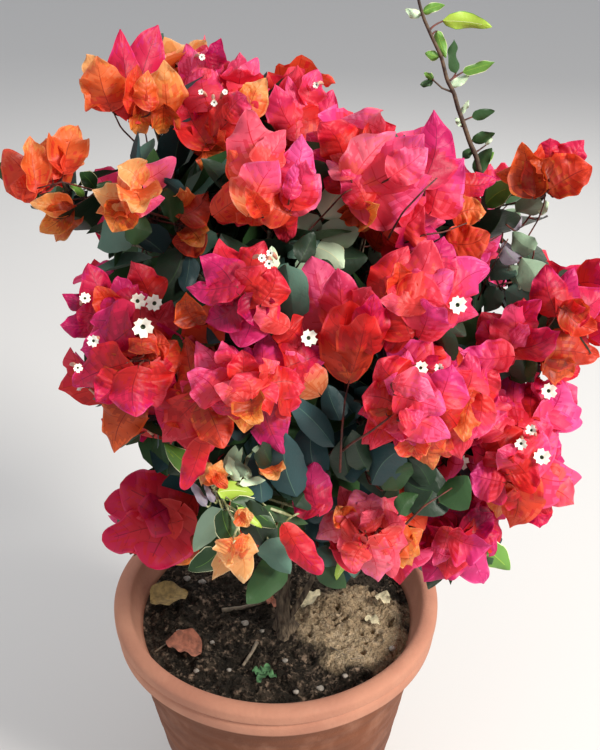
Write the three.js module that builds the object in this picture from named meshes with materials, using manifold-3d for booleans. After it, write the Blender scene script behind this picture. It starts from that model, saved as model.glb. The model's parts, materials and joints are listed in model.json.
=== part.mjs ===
import * as THREE from 'three';
import { mergeVertices } from 'three/addons/utils/BufferGeometryUtils.js';
import Module from 'manifold-3d';

// A bougainvillea grown as a small bush in a terracotta pot.
// Millimetres, +Z up. The origin is the centre of the pot's flat underside, the front is -Y.

const wasm = await Module();
wasm.setup();

// Pot: thrown terracotta with a rolled lip in two bands
const potHeight = 230;
const rimRadius = 130;
const rimWidth = 13;
const rimRound = 4;
const rimSteps = 4;
const lipHeight = 26;
const lowerBandHeight = 13;
const bandStep = 1.5;
const neckRadius = 118;
const footRadius = 85;
const footRound = 3;
const wallThickness = 9;
const floorThickness = 14;
const floorRound = 4;
const turns = 32;

// Soil: it fills the pot to a little below the lip, and has one large clod at the front right
const fillGap = 0.4;
const soilEdge = 203.5;
const soilRise = 4;
const soilSlope = 4;
const soilRings = [0.84, 0.64, 0.42, 0.2];
const levelRadius = 27;
const levelBlend = 16;
const clod = { x: 58, y: -66, size: 24, height: 7 };
const crumbs = [
  { height: 1.6, x: 0.13, y: 0.11, phase: 1 },
  { height: 1.2, x: 0.07, y: -0.19, phase: 0 },
];

// Trunk: one woody stem with a root flare, forking a hand's breadth above the soil
const seat = 0.3;
const trunkFoot = new THREE.Vector3(7, -24, soilEdge + soilRise + seat);
const trunkBend = new THREE.Vector3(4, -27, 248);
const trunkFork = new THREE.Vector3(9, -20, 284);
const trunkRadius = 5.6;
const forkRadius = 4.6;
const trunkSides = 9;
const trunkRings = 7;
const ringCrowding = 1.5;
const flareRadius = 11;
const flareHeight = 7;
const flareLobes = { count: 3, depth: 0.28, turn: 0.4, fade: 9 };

// Side stem: a bough that leaves the trunk just above the soil, and carries one mass alone
const sideStem = { mass: 'bottom_right', at: 0.09, lead: new THREE.Vector3(0.9, -0.1, 0.9) };

// Boughs: each one tapers from an older limb to the stem of its own mass
const boughSides = 5;
const boughStep = 34;
const boughTip = 1.5;
const boughThin = 1.7;
const boughGain = 0.75;
const boughTaper = 0.8;
const boughLeave = 0.36;
const boughArrive = 0.3;
const boughBow = 0.05;
const leadShare = 0.6;
const trunkJoins = { lowest: 0.5, highest: 0.97 };
const boughJoins = { lowest: 0.2, highest: 0.8 };
const joinStep = 0.03;
const bendCost = 0.45;
const heightCost = 0.22;
const boughRoom = 7.5;
const joinRoom = 15;
const joinSpacing = 8;
const limbPitch = 3;
const cutGap = 0.36;

// Crown: its heart, and the room that each mass keeps to
const crownHeart = new THREE.Vector3(8, -5, 400);
const cellMargin = 0.6;
const cellReach = 1.12;
const limbClearance = 1.6;
const lowestLeaf = potHeight + 4;

// Blades: outlines run from one side of the root round the tip to the other, as shares of the
// length and of half the width
const ovate = [[0.34, 0.52], [0.66, 0.95], [1, 0], [0.66, -0.95], [0.34, -0.52]];
const kite = [[0.43, 1], [1, 0], [0.43, -1]];
const bladeMiddle = 0.46;
const bract = { length: 44, width: 40, fold: 0.22, curl: 0.12, thickness: 1.1, outline: ovate };
const leaf = { length: 50, width: 33, fold: 0.2, curl: -0.14, thickness: 1.1, outline: kite };
const youngLeaf = { length: 29, width: 16, fold: 0.25, curl: -0.1, thickness: 0.8, outline: kite };

// Twigs: three-sided, ending in a trio of bracts, with leaves below it
const twigSides = 3;
const twigRadius = 1.5;
const twigTip = 1.1;
const twigPitch = 3;
const seatHalf = 1.2;
const seatSpacing = 4.8;
const goldenTurn = Math.PI * (3 - Math.sqrt(5));
const triosPerArea = 1 / 400;
const fanWidth = 1.1;
const tries = 40;
const hubBack = { share: 0.3, more: 14 };
const tipBack = { share: 0.5, more: 20 };
const stemBack = { share: 0.25, more: 8 };
const twigStart = { first: 0.05, perLean: 0.35 };
const cupDepth = 34;
const shortestTwig = 10;
const gather = 0.25;
const bractOpen = { least: 0.7, range: 0.25 };
const bractSize = { most: 1.06, shrink: 0.28 };
const leafOpen = { least: 0.95, range: 0.65 };
const leafSize = { least: 0.75, range: 0.35 };
const leafPlaces = { low: 0.25, high: 0.75 };
const stemPlaces = { low: 0.3, high: 0.95 };
const leavesOnTwig = 3;
const leavesOnYoungTwig = 5;
const leavesOnStem = 6;

// Tall shoot: one long young stem above the crown, with small leaves up its sides
const shootWay = new THREE.Vector3(-0.35, 0.02, 0.94).normalize();
const shootBack = 1.15;
const shootLength = 2.1;
const shootLeaves = 18;
const shootPlaces = { low: 0.08, high: 0.985 };

// Each mass: the turn from the front about the pot's axis in degrees (right is positive), the
// distance out from the axis, the height, the reach of its twigs and leaves, and its colour.
const masses = [
  ['top_left', -93, 84, 634, 42, 'orange'],
  ['top', -140, 20, 608, 48, 'coral'],
  ['left_wing', -82, 140, 579, 43, 'amber'],
  ['left_shoulder', -53, 99, 584, 42, 'amber'],
  ['upper_middle', 0, 78, 604, 46, 'coral'],
  ['upper_right', 59, 88, 598, 56, 'pink'],
  ['right_wing', 88, 172, 584, 42, 'orange'],
  ['right_edge', 71, 182, 510, 52, 'scarlet'],
  ['left_side', -30, 136, 488, 57, 'crimson'],
  ['middle_left', -7, 122, 552, 46, 'crimson'],
  ['heart', -5, 145, 496, 50, 'coral'],
  ['middle', 34, 130, 548, 54, 'coral'],
  ['centre_low', 29, 152, 486, 52, 'pink'],
  ['lower_right', 64, 162, 420, 55, 'pink'],
  ['bottom_right', 55, 148, 352, 48, 'magenta'],
  ['bottom_middle', 29, 122, 376, 46, 'coral'],
  ['bottom_left', -39, 124, 370, 50, 'magenta'],
  ['young_shoots', -9, 130, 412, 46, 'green'],
  ['tall_shoot', 92, 110, 640, 60, 'shoot'],
  ['back_top', -165, 92, 590, 60, 'coral'],
  ['back_left', -130, 118, 494, 64, 'crimson'],
  ['back_middle', 172, 136, 488, 66, 'pink'],
  ['back_right', 122, 150, 520, 68, 'pink'],
  ['back_low_left', -140, 120, 390, 60, 'magenta'],
  ['back_low_right', 125, 122, 400, 60, 'coral'],
];
const colours = {
  orange: 0xd8622c, coral: 0xd93a41, scarlet: 0xcc2a2b, amber: 0xe07a35, pink: 0xd92f62,
  crimson: 0xbf1f43, magenta: 0xb81c58, green: 0x5f8a3c, shoot: 0x6f9a34,
};

const bark = new THREE.MeshStandardMaterial({ color: 0x5b4638, roughness: 0.85, metalness: 0 });
const clay = new THREE.MeshStandardMaterial({ color: 0xb8694a, roughness: 0.8, metalness: 0 });
const earth = new THREE.MeshStandardMaterial({ color: 0x4c3c31, roughness: 1, metalness: 0 });

const up = new THREE.Vector3(0, 0, 1);
const right = new THREE.Vector3(1, 0, 0);
const bush = new THREE.Group();

function add(name, geometry, material) {
  const mesh = new THREE.Mesh(geometry, material);
  mesh.name = name;
  bush.add(mesh);
}

// A seeded random sequence, so that the same seed always grows the same twigs
function seeded(seed) {
  const modulus = 2147483647;
  let state = seed;
  return () => {
    state = (state * 48271) % modulus;
    return state / modulus;
  };
}

function solidFrom(points, triangles) {
  return new wasm.Manifold(new wasm.Mesh({
    numProp: 3,
    vertProperties: new Float32Array(points.flatMap((p) => [p.x, p.y, p.z])),
    triVerts: new Uint32Array(triangles),
  }));
}

function toManifold(geometry) {
  const bare = geometry.clone();
  bare.deleteAttribute('normal');
  bare.deleteAttribute('uv');
  const merged = mergeVertices(bare, 1e-4);
  return new wasm.Manifold(new wasm.Mesh({
    numProp: 3,
    vertProperties: new Float32Array(merged.attributes.position.array),
    triVerts: new Uint32Array(merged.index.array),
  }));
}

// The largest piece of a cut or joined solid, as a geometry
function toGeometry(solid) {
  const pieces = solid.decompose();
  pieces.sort((a, b) => b.volume() - a.volume());
  const mesh = pieces[0].getMesh();
  const geometry = new THREE.BufferGeometry();
  geometry.setAttribute('position', new THREE.BufferAttribute(new Float32Array(mesh.vertProperties), 3));
  geometry.setIndex(new THREE.BufferAttribute(new Uint32Array(mesh.triVerts), 1));
  geometry.computeVertexNormals();
  return geometry;
}

// A closed solid that runs through rings of points, with flat ends
function ringsSolid(rings) {
  const sides = rings[0].length;
  const last = (rings.length - 1) * sides;
  const triangles = [];
  for (let row = 0; row + 1 < rings.length; row++) {
    for (let side = 0; side < sides; side++) {
      const a = row * sides + side;
      const b = row * sides + ((side + 1) % sides);
      triangles.push(a, b, b + sides, a, b + sides, a + sides);
    }
  }
  for (let side = 1; side + 1 < sides; side++) {
    triangles.push(0, side + 1, side);
    triangles.push(last, last + side, last + side + 1);
  }
  return solidFrom(rings.flat(), triangles);
}

// A ring of points square to the tangent, with its first point on the given side
function ring(centre, tangent, side, radius, sides, swell = () => 1) {
  const u = side.clone().addScaledVector(tangent, -side.dot(tangent)).normalize();
  const v = tangent.clone().cross(u);
  return Array.from({ length: sides }, (_, k) => {
    const angle = (2 * Math.PI * k) / sides;
    const r = radius * swell(angle);
    return centre.clone().addScaledVector(u, r * Math.cos(angle)).addScaledVector(v, r * Math.sin(angle));
  });
}

// A direction at a turn about an axis, and square to it
function square(axis, turn) {
  const aside = Math.abs(axis.z) < 0.9 ? up : right;
  const u = aside.clone().cross(axis).normalize();
  const v = axis.clone().cross(u);
  return u.multiplyScalar(Math.cos(turn)).addScaledVector(v, Math.sin(turn));
}

// Pot
const neck = potHeight - lipHeight;
const innerFoot = footRadius - wallThickness;
const floorEdge = floorThickness + floorRound;

function potProfile() {
  const lower = rimRadius - bandStep;
  const bandTop = neck + lowerBandHeight;
  const rim = Array.from({ length: rimSteps + 1 }, (_, k) => {
    const angle = (Math.PI * k) / rimSteps;
    const middle = rimRadius - rimWidth / 2;
    return [middle + (rimWidth / 2) * Math.cos(angle), potHeight - rimRound + rimRound * Math.sin(angle)];
  });
  return [
    [0, 0], [footRadius - footRound, 0], [footRadius, footRound], [neckRadius, neck],
    [lower - bandStep, neck + bandStep], [lower, neck + 2 * bandStep], [lower, bandTop],
    [rimRadius, bandTop + bandStep], ...rim, [neckRadius - wallThickness, neck],
    [innerFoot, floorEdge], [innerFoot - floorRound, floorThickness], [0, floorThickness],
  ];
}

function lathe(profile) {
  const points = profile.map(([r, z]) => new THREE.Vector2(r, z));
  const geometry = new THREE.LatheGeometry(points, turns);
  geometry.rotateX(Math.PI / 2);
  return geometry;
}

add('pot', toGeometry(toManifold(lathe(potProfile()))), clay);

// Soil: a crumbly surface that is level only round the trunk's foot
function soilHeight(x, y) {
  const inner = Math.max(0, 1 - (Math.hypot(x, y) / (neckRadius - wallThickness)) ** 4);
  const fromFoot = Math.hypot(x - trunkFoot.x, y - trunkFoot.y);
  const rough = THREE.MathUtils.smoothstep(fromFoot, levelRadius, levelRadius + levelBlend);
  const mound = clod.height * Math.exp(-((x - clod.x) ** 2 + (y - clod.y) ** 2) / clod.size ** 2);
  const waves = crumbs.map((wave) => wave.height * Math.sin(wave.x * x + wave.y * y + wave.phase));
  const level = soilEdge + soilRise * Math.min(1, soilSlope * inner);
  return level + rough * inner * (mound + waves[0] + waves[1]);
}

function soilGeometry() {
  const lean = (neckRadius - wallThickness - innerFoot) / (neck - floorEdge);
  const edge = innerFoot + lean * (soilEdge - floorEdge) - fillGap;
  const profile = [
    [0, floorThickness + fillGap], [innerFoot - floorRound - fillGap, floorThickness + fillGap],
    [innerFoot - fillGap, floorEdge + fillGap / 2], [edge, soilEdge],
    ...soilRings.map((share) => [edge * share, neck]), [0, neck],
  ];
  const geometry = lathe(profile);
  const position = geometry.attributes.position;
  for (let k = 0; k < position.count; k++) {
    const onTop = position.getZ(k) > (soilEdge + neck) / 2;
    if (onTop) position.setZ(k, soilHeight(position.getX(k), position.getY(k)));
  }
  return geometry;
}

add('soil', toGeometry(toManifold(soilGeometry())), earth);

// Trunk
const trunk = {
  curve: new THREE.QuadraticBezierCurve3(trunkFoot, trunkBend, trunkFork),
  before: 0,
  length: trunkFork.distanceTo(trunkFoot),
  radius: (t) => {
    const height = t * (trunkFork.z - trunkFoot.z);
    const flare = (flareRadius - trunkRadius) * Math.exp(-height / flareHeight);
    return THREE.MathUtils.lerp(trunkRadius, forkRadius, t) + flare;
  },
};

function trunkSolid(extra = 0) {
  const rings = [];
  for (let k = 0; k <= trunkRings; k++) {
    const t = (k / trunkRings) ** ringCrowding;
    const depth = flareLobes.depth * Math.exp(-t * flareLobes.fade);
    const swell = (angle) => 1 + depth * Math.cos(flareLobes.count * angle - flareLobes.turn);
    const tangent = k === 0 ? up : trunk.curve.getTangent(t);
    rings.push(ring(trunk.curve.getPoint(t), tangent, right, trunk.radius(t) + extra, trunkSides, swell));
  }
  return ringsSolid(rings);
}

add('trunk', toGeometry(trunkSolid()), bark);

// Crown: the places of the masses, and where the bough of each one ends
const crown = masses.map(([name, turn, out, height, reach, colour], number) => {
  const angle = THREE.MathUtils.degToRad(turn);
  const centre = new THREE.Vector3(out * Math.sin(angle), -out * Math.cos(angle), height);
  const isShoot = colour === 'shoot';
  const outward = isShoot ? shootWay : centre.clone().sub(crownHeart).normalize();
  const back = isShoot ? shootBack * reach : tipBack.share * reach + tipBack.more;
  const tip = centre.clone().addScaledVector(outward, -back);
  return { name, number, centre, outward, reach, colour, tip };
});

// Boughs: the nearest masses first, each from the older limb that reaches its place with the
// shortest and straightest way, clear of the limbs that are there already
const limbs = [trunk];

function addSpheres(limb) {
  const count = Math.max(2, Math.ceil(limb.length / limbPitch));
  limb.spheres = Array.from({ length: count + 1 }, (_, k) => limb.curve.getPoint(k / count));
}

addSpheres(trunk);

function boughCurve(start, lead, mass) {
  const span = start.distanceTo(mass.tip);
  const leave = mass.tip.clone().sub(start).normalize().addScaledVector(lead, leadShare).normalize();
  const first = start.clone().addScaledVector(leave, span * boughLeave);
  first.addScaledVector(up, span * boughBow);
  const second = mass.tip.clone().addScaledVector(mass.outward, -span * boughArrive);
  return new THREE.CubicBezierCurve3(start, first, second, mass.tip.clone());
}

function isClear(spheres, join) {
  return limbs.every((limb) => limb.spheres.every((old) => {
    if (old.distanceTo(join) < joinRoom) return true;
    return spheres.every((p) => p.distanceTo(join) < joinRoom || p.distanceTo(old) > boughRoom);
  }));
}

function joinChoices(mass) {
  if (mass.name === sideStem.mass) {
    const start = trunk.curve.getPoint(sideStem.at);
    return [{ parent: trunk, start, lead: sideStem.lead, before: 0, cost: 0 }];
  }
  const choices = [];
  for (const parent of limbs) {
    if (parent.mass === sideStem.mass) continue;
    const { lowest, highest } = parent === trunk ? trunkJoins : boughJoins;
    for (let t = lowest; t < highest + joinStep / 2; t += joinStep) {
      const start = parent.curve.getPoint(t);
      const lead = parent.curve.getTangent(t);
      const way = mass.tip.clone().sub(start);
      const bend = 1 - lead.dot(way) / way.length();
      const before = parent.before + parent.length * t;
      const cost = way.length() * (1 + bendCost * bend) + heightCost * before;
      choices.push({ parent, start, lead, before, cost });
    }
  }
  return choices.sort((a, b) => a.cost - b.cost);
}

function growBough(mass) {
  for (const choice of joinChoices(mass)) {
    const close = limbs.some((limb) => limb.join && limb.join.distanceTo(choice.start) < joinSpacing);
    if (close) continue;
    const curve = boughCurve(choice.start, choice.lead, mass);
    const limb = { mass: mass.name, curve, join: choice.start, parent: choice.parent };
    limb.length = curve.getLength();
    limb.before = choice.before;
    addSpheres(limb);
    if (isClear(limb.spheres, limb.join)) return limb;
  }
  throw new Error(`no clear way for ${mass.name}`);
}

const isSide = (mass) => mass.name === sideStem.mass;
const fromFork = (mass) => (isSide(mass) ? 0 : mass.tip.distanceTo(trunkFork));
const nearestFirst = [...crown].sort((a, b) => fromFork(a) - fromFork(b));
for (const mass of nearestFirst) {
  mass.bough = growBough(mass);
  limbs.push(mass.bough);
}

// A bough is as thick as the number of masses that it carries asks for
const boughs = limbs.slice(1);
for (const bough of boughs) bough.load = 1;
for (const bough of boughs) {
  for (let older = bough.parent; older !== trunk; older = older.parent) older.load += 1;
}
for (const bough of boughs) {
  const thick = boughThin + boughGain * Math.sqrt(bough.load);
  bough.radius = (t) => THREE.MathUtils.lerp(thick, boughTip, t ** boughTaper);
}

function boughSolid(bough, extra = 0) {
  const steps = Math.max(3, Math.round(bough.length / boughStep));
  const rings = [];
  for (let k = 0; k <= steps; k++) {
    const t = k / steps;
    const radius = bough.radius(t) + extra;
    rings.push(ring(bough.curve.getPoint(t), bough.curve.getTangent(t), right, radius, boughSides));
  }
  return ringsSolid(rings);
}

// Each bough is cut back a hair's breadth from the limbs that are older
const older = [trunkSolid(cutGap)];
for (const bough of boughs) {
  let solid = boughSolid(bough);
  for (const limb of older) solid = solid.subtract(limb);
  older.push(boughSolid(bough, cutGap));
  add(`bough_${bough.mass}`, toGeometry(solid), bark);
}

// Masses: a point belongs to the mass that has the most pull on it
function keepsToCell(mass, point, margin) {
  if (point.z < lowestLeaf) return false;
  if (point.distanceTo(mass.centre) > mass.reach * cellReach) return false;
  return crown.every((other) => {
    if (other === mass) return true;
    const apart = other.centre.distanceTo(mass.centre);
    const own = point.distanceToSquared(mass.centre) - mass.reach ** 2;
    const theirs = point.distanceToSquared(other.centre) - other.reach ** 2;
    return (theirs - own) / (2 * apart) > margin;
  });
}

// The limbs as balls along their middles
const balls = limbs.flatMap((limb) => limb.spheres.map((centre, k) => ({
  centre,
  radius: limb.radius(k / (limb.spheres.length - 1)) + limbClearance,
})));

function clearOfLimbs(triangles) {
  const middle = triangles[0].a;
  const span = Math.max(...triangles.flatMap((t) => [t.b.distanceTo(middle), t.c.distanceTo(middle)]));
  const nearest = new THREE.Vector3();
  return balls.every((ball) => {
    if (ball.centre.distanceTo(middle) > span + ball.radius) return true;
    return triangles.every((triangle) => {
      triangle.closestPointToPoint(ball.centre, nearest);
      return nearest.distanceTo(ball.centre) > ball.radius;
    });
  });
}

// A bract or a leaf: a thin folded blade that leaves its root along one way and faces another
function blade(kind, root, along, facing, size) {
  const across = along.clone().cross(facing).normalize();
  const face = across.clone().cross(along);
  const place = (s, t, lift) => {
    const height = kind.fold * Math.abs(t) * kind.width / 2 + kind.curl * kind.length * s * s + lift;
    return root.clone()
      .addScaledVector(along, kind.length * size * s)
      .addScaledVector(across, kind.width * size * t / 2)
      .addScaledVector(face, height * size);
  };
  const rim = kind.outline.map(([s, t]) => place(s, t, 0));
  const over = place(bladeMiddle, 0, kind.thickness / 2);
  const under = place(bladeMiddle, 0, -kind.thickness / 2);
  return { root, rim, over, under };
}

function bladeTriangles({ root, rim, over }) {
  const loop = [root, ...rim];
  return loop.map((p, k) => new THREE.Triangle(over, p, loop[(k + 1) % loop.length]));
}

// The blade by itself as a closed solid, to try whether its place is free
function bladeSolid({ root, rim, over, under }) {
  const loop = [root, ...rim];
  const top = loop.length;
  const triangles = loop.flatMap((_, k) => {
    const next = (k + 1) % loop.length;
    return [top, k, next, top + 1, next, k];
  });
  return solidFrom([...loop, over, under], triangles);
}

function bladeFits(mass, shape) {
  const inside = [...shape.rim, shape.over].every((p) => keepsToCell(mass, p, cellMargin));
  return inside && clearOfLimbs(bladeTriangles(shape));
}

function placed(solid) {
  return { solid, box: solid.boundingBox() };
}

function isFree(solid, others) {
  const box = solid.boundingBox();
  return others.every((other) => {
    const apart = [0, 1, 2].some((k) => box.min[k] > other.box.max[k] || box.max[k] < other.box.min[k]);
    return apart || solid.intersect(other.solid).isEmpty();
  });
}

function twigFits(mass, from, to) {
  const count = Math.ceil(from.distanceTo(to) / twigPitch);
  for (let k = 1; k <= count; k++) {
    const p = from.clone().lerp(to, k / count);
    if (!keepsToCell(mass, p, twigRadius + cellMargin)) return false;
    if (balls.some((ball) => ball.centre.distanceTo(p) < ball.radius + twigRadius)) return false;
  }
  return true;
}

// A direction that leans from the mass's outward way by an angle, at a turn about it
function fan(mass, lean, turn) {
  const u = up.clone().cross(mass.outward).normalize();
  const v = mass.outward.clone().cross(u);
  return mass.outward.clone().multiplyScalar(Math.cos(lean))
    .addScaledVector(u, Math.sin(lean) * Math.cos(turn))
    .addScaledVector(v, Math.sin(lean) * Math.sin(turn));
}

// A three-sided twig. Each blade grows out of one of its sides, between two rings.
class Twig {
  constructor(from, to, axis, roll, thick, thin) {
    Object.assign(this, { from, axis, roll, thick, thin, blades: [] });
    this.way = to.clone().sub(from).normalize();
    this.length = to.distanceTo(from);
  }

  // A blade at a distance along the twig, on one side, opened from the twig's axis
  shape(kind, at, side, open, size) {
    const away = square(this.axis, this.roll + ((side + 0.5) * 2 * Math.PI) / twigSides);
    const root = this.from.clone().addScaledVector(this.way, at).addScaledVector(away, this.thin / 2);
    const along = this.axis.clone().multiplyScalar(Math.cos(open)).addScaledVector(away, Math.sin(open));
    return { at, side, ...blade(kind, root, along, this.axis, size) };
  }

  // Grows the blade if it keeps to the mass's cell, clear of the limbs and free of the others
  grow(mass, others, shape) {
    const taken = this.blades.some((old) => {
      return old.side === shape.side && Math.abs(old.at - shape.at) < seatSpacing;
    });
    if (taken || !bladeFits(mass, shape)) return false;
    const solid = bladeSolid(shape);
    if (!isFree(solid, others)) return false;
    shape.test = placed(solid);
    this.blades.push(shape);
    return true;
  }

  solid(blades = this.blades) {
    const levels = [0, this.length];
    for (const { at } of blades) levels.push(at - seatHalf, at + seatHalf);
    const heights = [...new Set(levels)].sort((a, b) => a - b);
    const points = [];
    const triangles = [];
    for (const height of heights) {
      const radius = THREE.MathUtils.lerp(this.thick, this.thin, Math.min(1, height / this.length));
      const middle = this.from.clone().addScaledVector(this.way, height);
      points.push(...ring(middle, this.axis, square(this.axis, this.roll), radius, twigSides));
    }
    for (let row = 0; row + 1 < heights.length; row++) {
      for (let side = 0; side < twigSides; side++) {
        const a = row * twigSides + side;
        const b = row * twigSides + ((side + 1) % twigSides);
        const corners = [a, b, b + twigSides, a + twigSides];
        const seated = blades.find((one) => one.side === side && one.at - seatHalf === heights[row]);
        if (seated) this.addBlade(points, triangles, corners, seated);
        else triangles.push(a, b, corners[2], a, corners[2], corners[3]);
      }
    }
    const last = (heights.length - 1) * twigSides;
    triangles.push(0, 2, 1, last, last + 1, last + 2);
    return solidFrom(points, triangles);
  }

  // The four corners of the seat lead over to the blade's rim, above and below
  addBlade(points, triangles, [a, b, c, d], { rim, over, under }) {
    const loop = rim.map((_, k) => points.length + k);
    const top = points.length + rim.length;
    const bottom = top + 1;
    points.push(...rim, over, under);
    const upper = [d, ...loop, c];
    const lower = [a, ...loop, b];
    for (let k = 0; k + 1 < upper.length; k++) {
      triangles.push(top, upper[k], upper[k + 1], bottom, lower[k + 1], lower[k]);
    }
    triangles.push(top, c, d, bottom, a, b, a, loop[0], d, b, c, loop[loop.length - 1]);
  }
}

// Leaves one above another round a twig, as far as there is room
function addLeaves(mass, others, random, twig, kind, count, places) {
  for (let k = 0; k < count; k++) {
    for (let attempt = 0; attempt < tries; attempt++) {
      const at = twig.length * THREE.MathUtils.lerp(places.low, places.high, (k + random()) / count);
      const side = Math.floor(random() * twigSides);
      const open = leafOpen.least + leafOpen.range * random();
      const size = leafSize.least + leafSize.range * random();
      const own = twig.blades.map((shape) => shape.test);
      if (twig.grow(mass, [...others, ...own], twig.shape(kind, at, side, open, size))) break;
    }
  }
}

// One twig in its own direction of the fan, which it leaves more and more from try to try
function growTwig(mass, others, random, slot, wanted, stem) {
  const young = mass.colour === 'green';
  const back = hubBack.share * mass.reach + hubBack.more;
  const hub = mass.centre.clone().addScaledVector(mass.outward, -back);
  for (let attempt = 0; attempt < tries; attempt++) {
    const loose = attempt / tries;
    const lean = Math.acos(1 - fanWidth * ((slot + 0.5) / wanted)) + loose * (random() - 0.5);
    const turn = slot * goldenTurn + mass.number + 2 * Math.PI * loose ** 2 * (random() - 0.5);
    const way = fan(mass, lean, turn);
    const span = Math.sqrt(mass.reach ** 2 - (back * Math.sin(lean)) ** 2) + back * Math.cos(lean);
    const far = Math.max(shortestTwig, span - cupDepth) * (1 - loose * random() / 2);
    const start = stem.to.clone().lerp(stem.from, twigStart.first + twigStart.perLean * lean);
    const end = hub.clone().addScaledVector(way, far);
    const axis = way.clone().addScaledVector(mass.outward, gather).normalize();
    const twig = new Twig(start, end, axis, random() * 2 * Math.PI, twigRadius, twigTip);
    const open = bractOpen.least + bractOpen.range * random();
    const size = bractSize.most - bractSize.shrink * loose;
    const core = placed(twig.solid());
    if (!twigFits(mass, start, end) || !isFree(core.solid, others)) continue;
    for (let side = 0; side < twigSides && !young; side++) {
      twig.grow(mass, others, twig.shape(bract, twig.length - seatHalf, side, open, size));
    }
    if (!young && twig.blades.length < 2) continue;
    const kind = young ? youngLeaf : leaf;
    const places = young ? { low: leafPlaces.low, high: 1 } : leafPlaces;
    addLeaves(mass, others, random, twig, kind, young ? leavesOnYoungTwig : leavesOnTwig, places);
    others.push(core, ...twig.blades.map((shape) => shape.test));
    return twig;
  }
  return null;
}

// The stem runs on from the bough's tip, and its twigs fan out to the mass's reach
function growMass(mass) {
  const random = seeded(1000 + 37 * mass.number);
  const from = mass.tip.clone().addScaledVector(mass.outward, seat);
  const short = stemBack.share * mass.reach + stemBack.more;
  const to = mass.centre.clone().addScaledVector(mass.outward, -short);
  const stem = new Twig(from, to, mass.outward, mass.number, twigRadius, twigTip);
  const others = [];
  const twigs = [stem];
  const wanted = Math.round(mass.reach ** 2 * triosPerArea);
  for (let slot = 0; slot < wanted; slot++) {
    const twig = growTwig(mass, others, random, slot, wanted, { from, to });
    if (twig) twigs.push(twig);
  }
  addLeaves(mass, others, random, stem, leaf, leavesOnStem, stemPlaces);
  return wasm.Manifold.union(twigs.map((twig) => twig.solid()));
}

function growShoot(mass) {
  const random = seeded(1000 + 37 * mass.number);
  const from = mass.tip.clone().addScaledVector(mass.outward, seat);
  const to = from.clone().addScaledVector(mass.outward, shootLength * mass.reach);
  const stem = new Twig(from, to, mass.outward, 0, boughTip, twigTip);
  addLeaves(mass, [], random, stem, youngLeaf, shootLeaves, shootPlaces);
  return stem.solid();
}

for (const mass of crown) {
  const solid = mass.colour === 'shoot' ? growShoot(mass) : growMass(mass);
  const material = new THREE.MeshStandardMaterial({
    color: colours[mass.colour], roughness: 0.6, metalness: 0,
  });
  add(`mass_${mass.name}`, toGeometry(solid), material);
}

export default bush;
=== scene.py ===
import json
import math

import bpy
import numpy as np
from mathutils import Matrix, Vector, noise

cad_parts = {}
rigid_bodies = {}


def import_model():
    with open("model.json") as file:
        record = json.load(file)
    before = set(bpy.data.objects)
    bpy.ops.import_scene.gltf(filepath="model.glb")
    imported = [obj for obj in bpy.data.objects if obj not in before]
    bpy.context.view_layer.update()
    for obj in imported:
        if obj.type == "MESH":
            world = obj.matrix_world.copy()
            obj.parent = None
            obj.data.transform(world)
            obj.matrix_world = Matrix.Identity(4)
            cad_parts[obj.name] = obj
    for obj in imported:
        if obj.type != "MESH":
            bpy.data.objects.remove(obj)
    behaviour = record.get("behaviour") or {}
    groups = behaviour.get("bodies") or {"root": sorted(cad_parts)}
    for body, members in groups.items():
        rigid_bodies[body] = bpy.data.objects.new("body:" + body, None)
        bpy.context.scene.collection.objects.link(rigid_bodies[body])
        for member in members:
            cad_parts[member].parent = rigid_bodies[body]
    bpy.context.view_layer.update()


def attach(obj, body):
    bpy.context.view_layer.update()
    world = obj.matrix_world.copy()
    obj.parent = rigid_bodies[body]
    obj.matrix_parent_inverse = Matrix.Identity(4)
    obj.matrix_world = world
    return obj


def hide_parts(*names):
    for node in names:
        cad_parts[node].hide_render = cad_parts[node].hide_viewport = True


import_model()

# Camera, floor and studio light
# The camera stands where the photograph was taken from, in front of the pot and well above it.
# The floor is one plain pale sheet, and three soft boxes and a pale room light the bush.
frame_height = 750
focal_pixels = 1000
sensor = 36
camera_place = (0.019, -0.613, 0.785)
camera_dip = math.radians(30.2)
camera_data = bpy.data.cameras.new("camera")
camera_data.sensor_width = sensor
camera_data.lens = focal_pixels * sensor / frame_height
camera = bpy.data.objects.new("camera", camera_data)
camera.location = camera_place
camera.rotation_euler = (math.pi / 2 - camera_dip, 0, 0)
bpy.context.scene.collection.objects.link(camera)
bpy.context.scene.camera = camera
bpy.context.scene.view_settings.view_transform = "Standard"


def soft_box(name, place, target, size, power, tint):
    data = bpy.data.lights.new(name, "AREA")
    data.size = size
    data.energy = power
    data.color = tint
    light = bpy.data.objects.new(name, data)
    light.location = place
    light.rotation_euler = (Vector(target) - Vector(place)).to_track_quat("-Z", "Y").to_euler()
    bpy.context.scene.collection.objects.link(light)


crown_middle = (0, 0, 0.45)
soft_box("key_light", (1.25, -0.9, 1.5), crown_middle, 0.5, 44, (1.0, 0.96, 0.9))
soft_box("fill_light", (-1.5, -0.9, 1.1), crown_middle, 1.6, 3, (0.92, 0.96, 1.0))
soft_box("back_light", (0.3, 1.5, 1.6), crown_middle, 1.4, 16, (1.0, 0.98, 0.95))

room = bpy.data.worlds.new("room")
room.use_nodes = True
room.node_tree.nodes["Background"].inputs["Color"].default_value = (0.93, 0.95, 1.0, 1)
room.node_tree.nodes["Background"].inputs["Strength"].default_value = 0.52
bpy.context.scene.world = room

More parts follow.
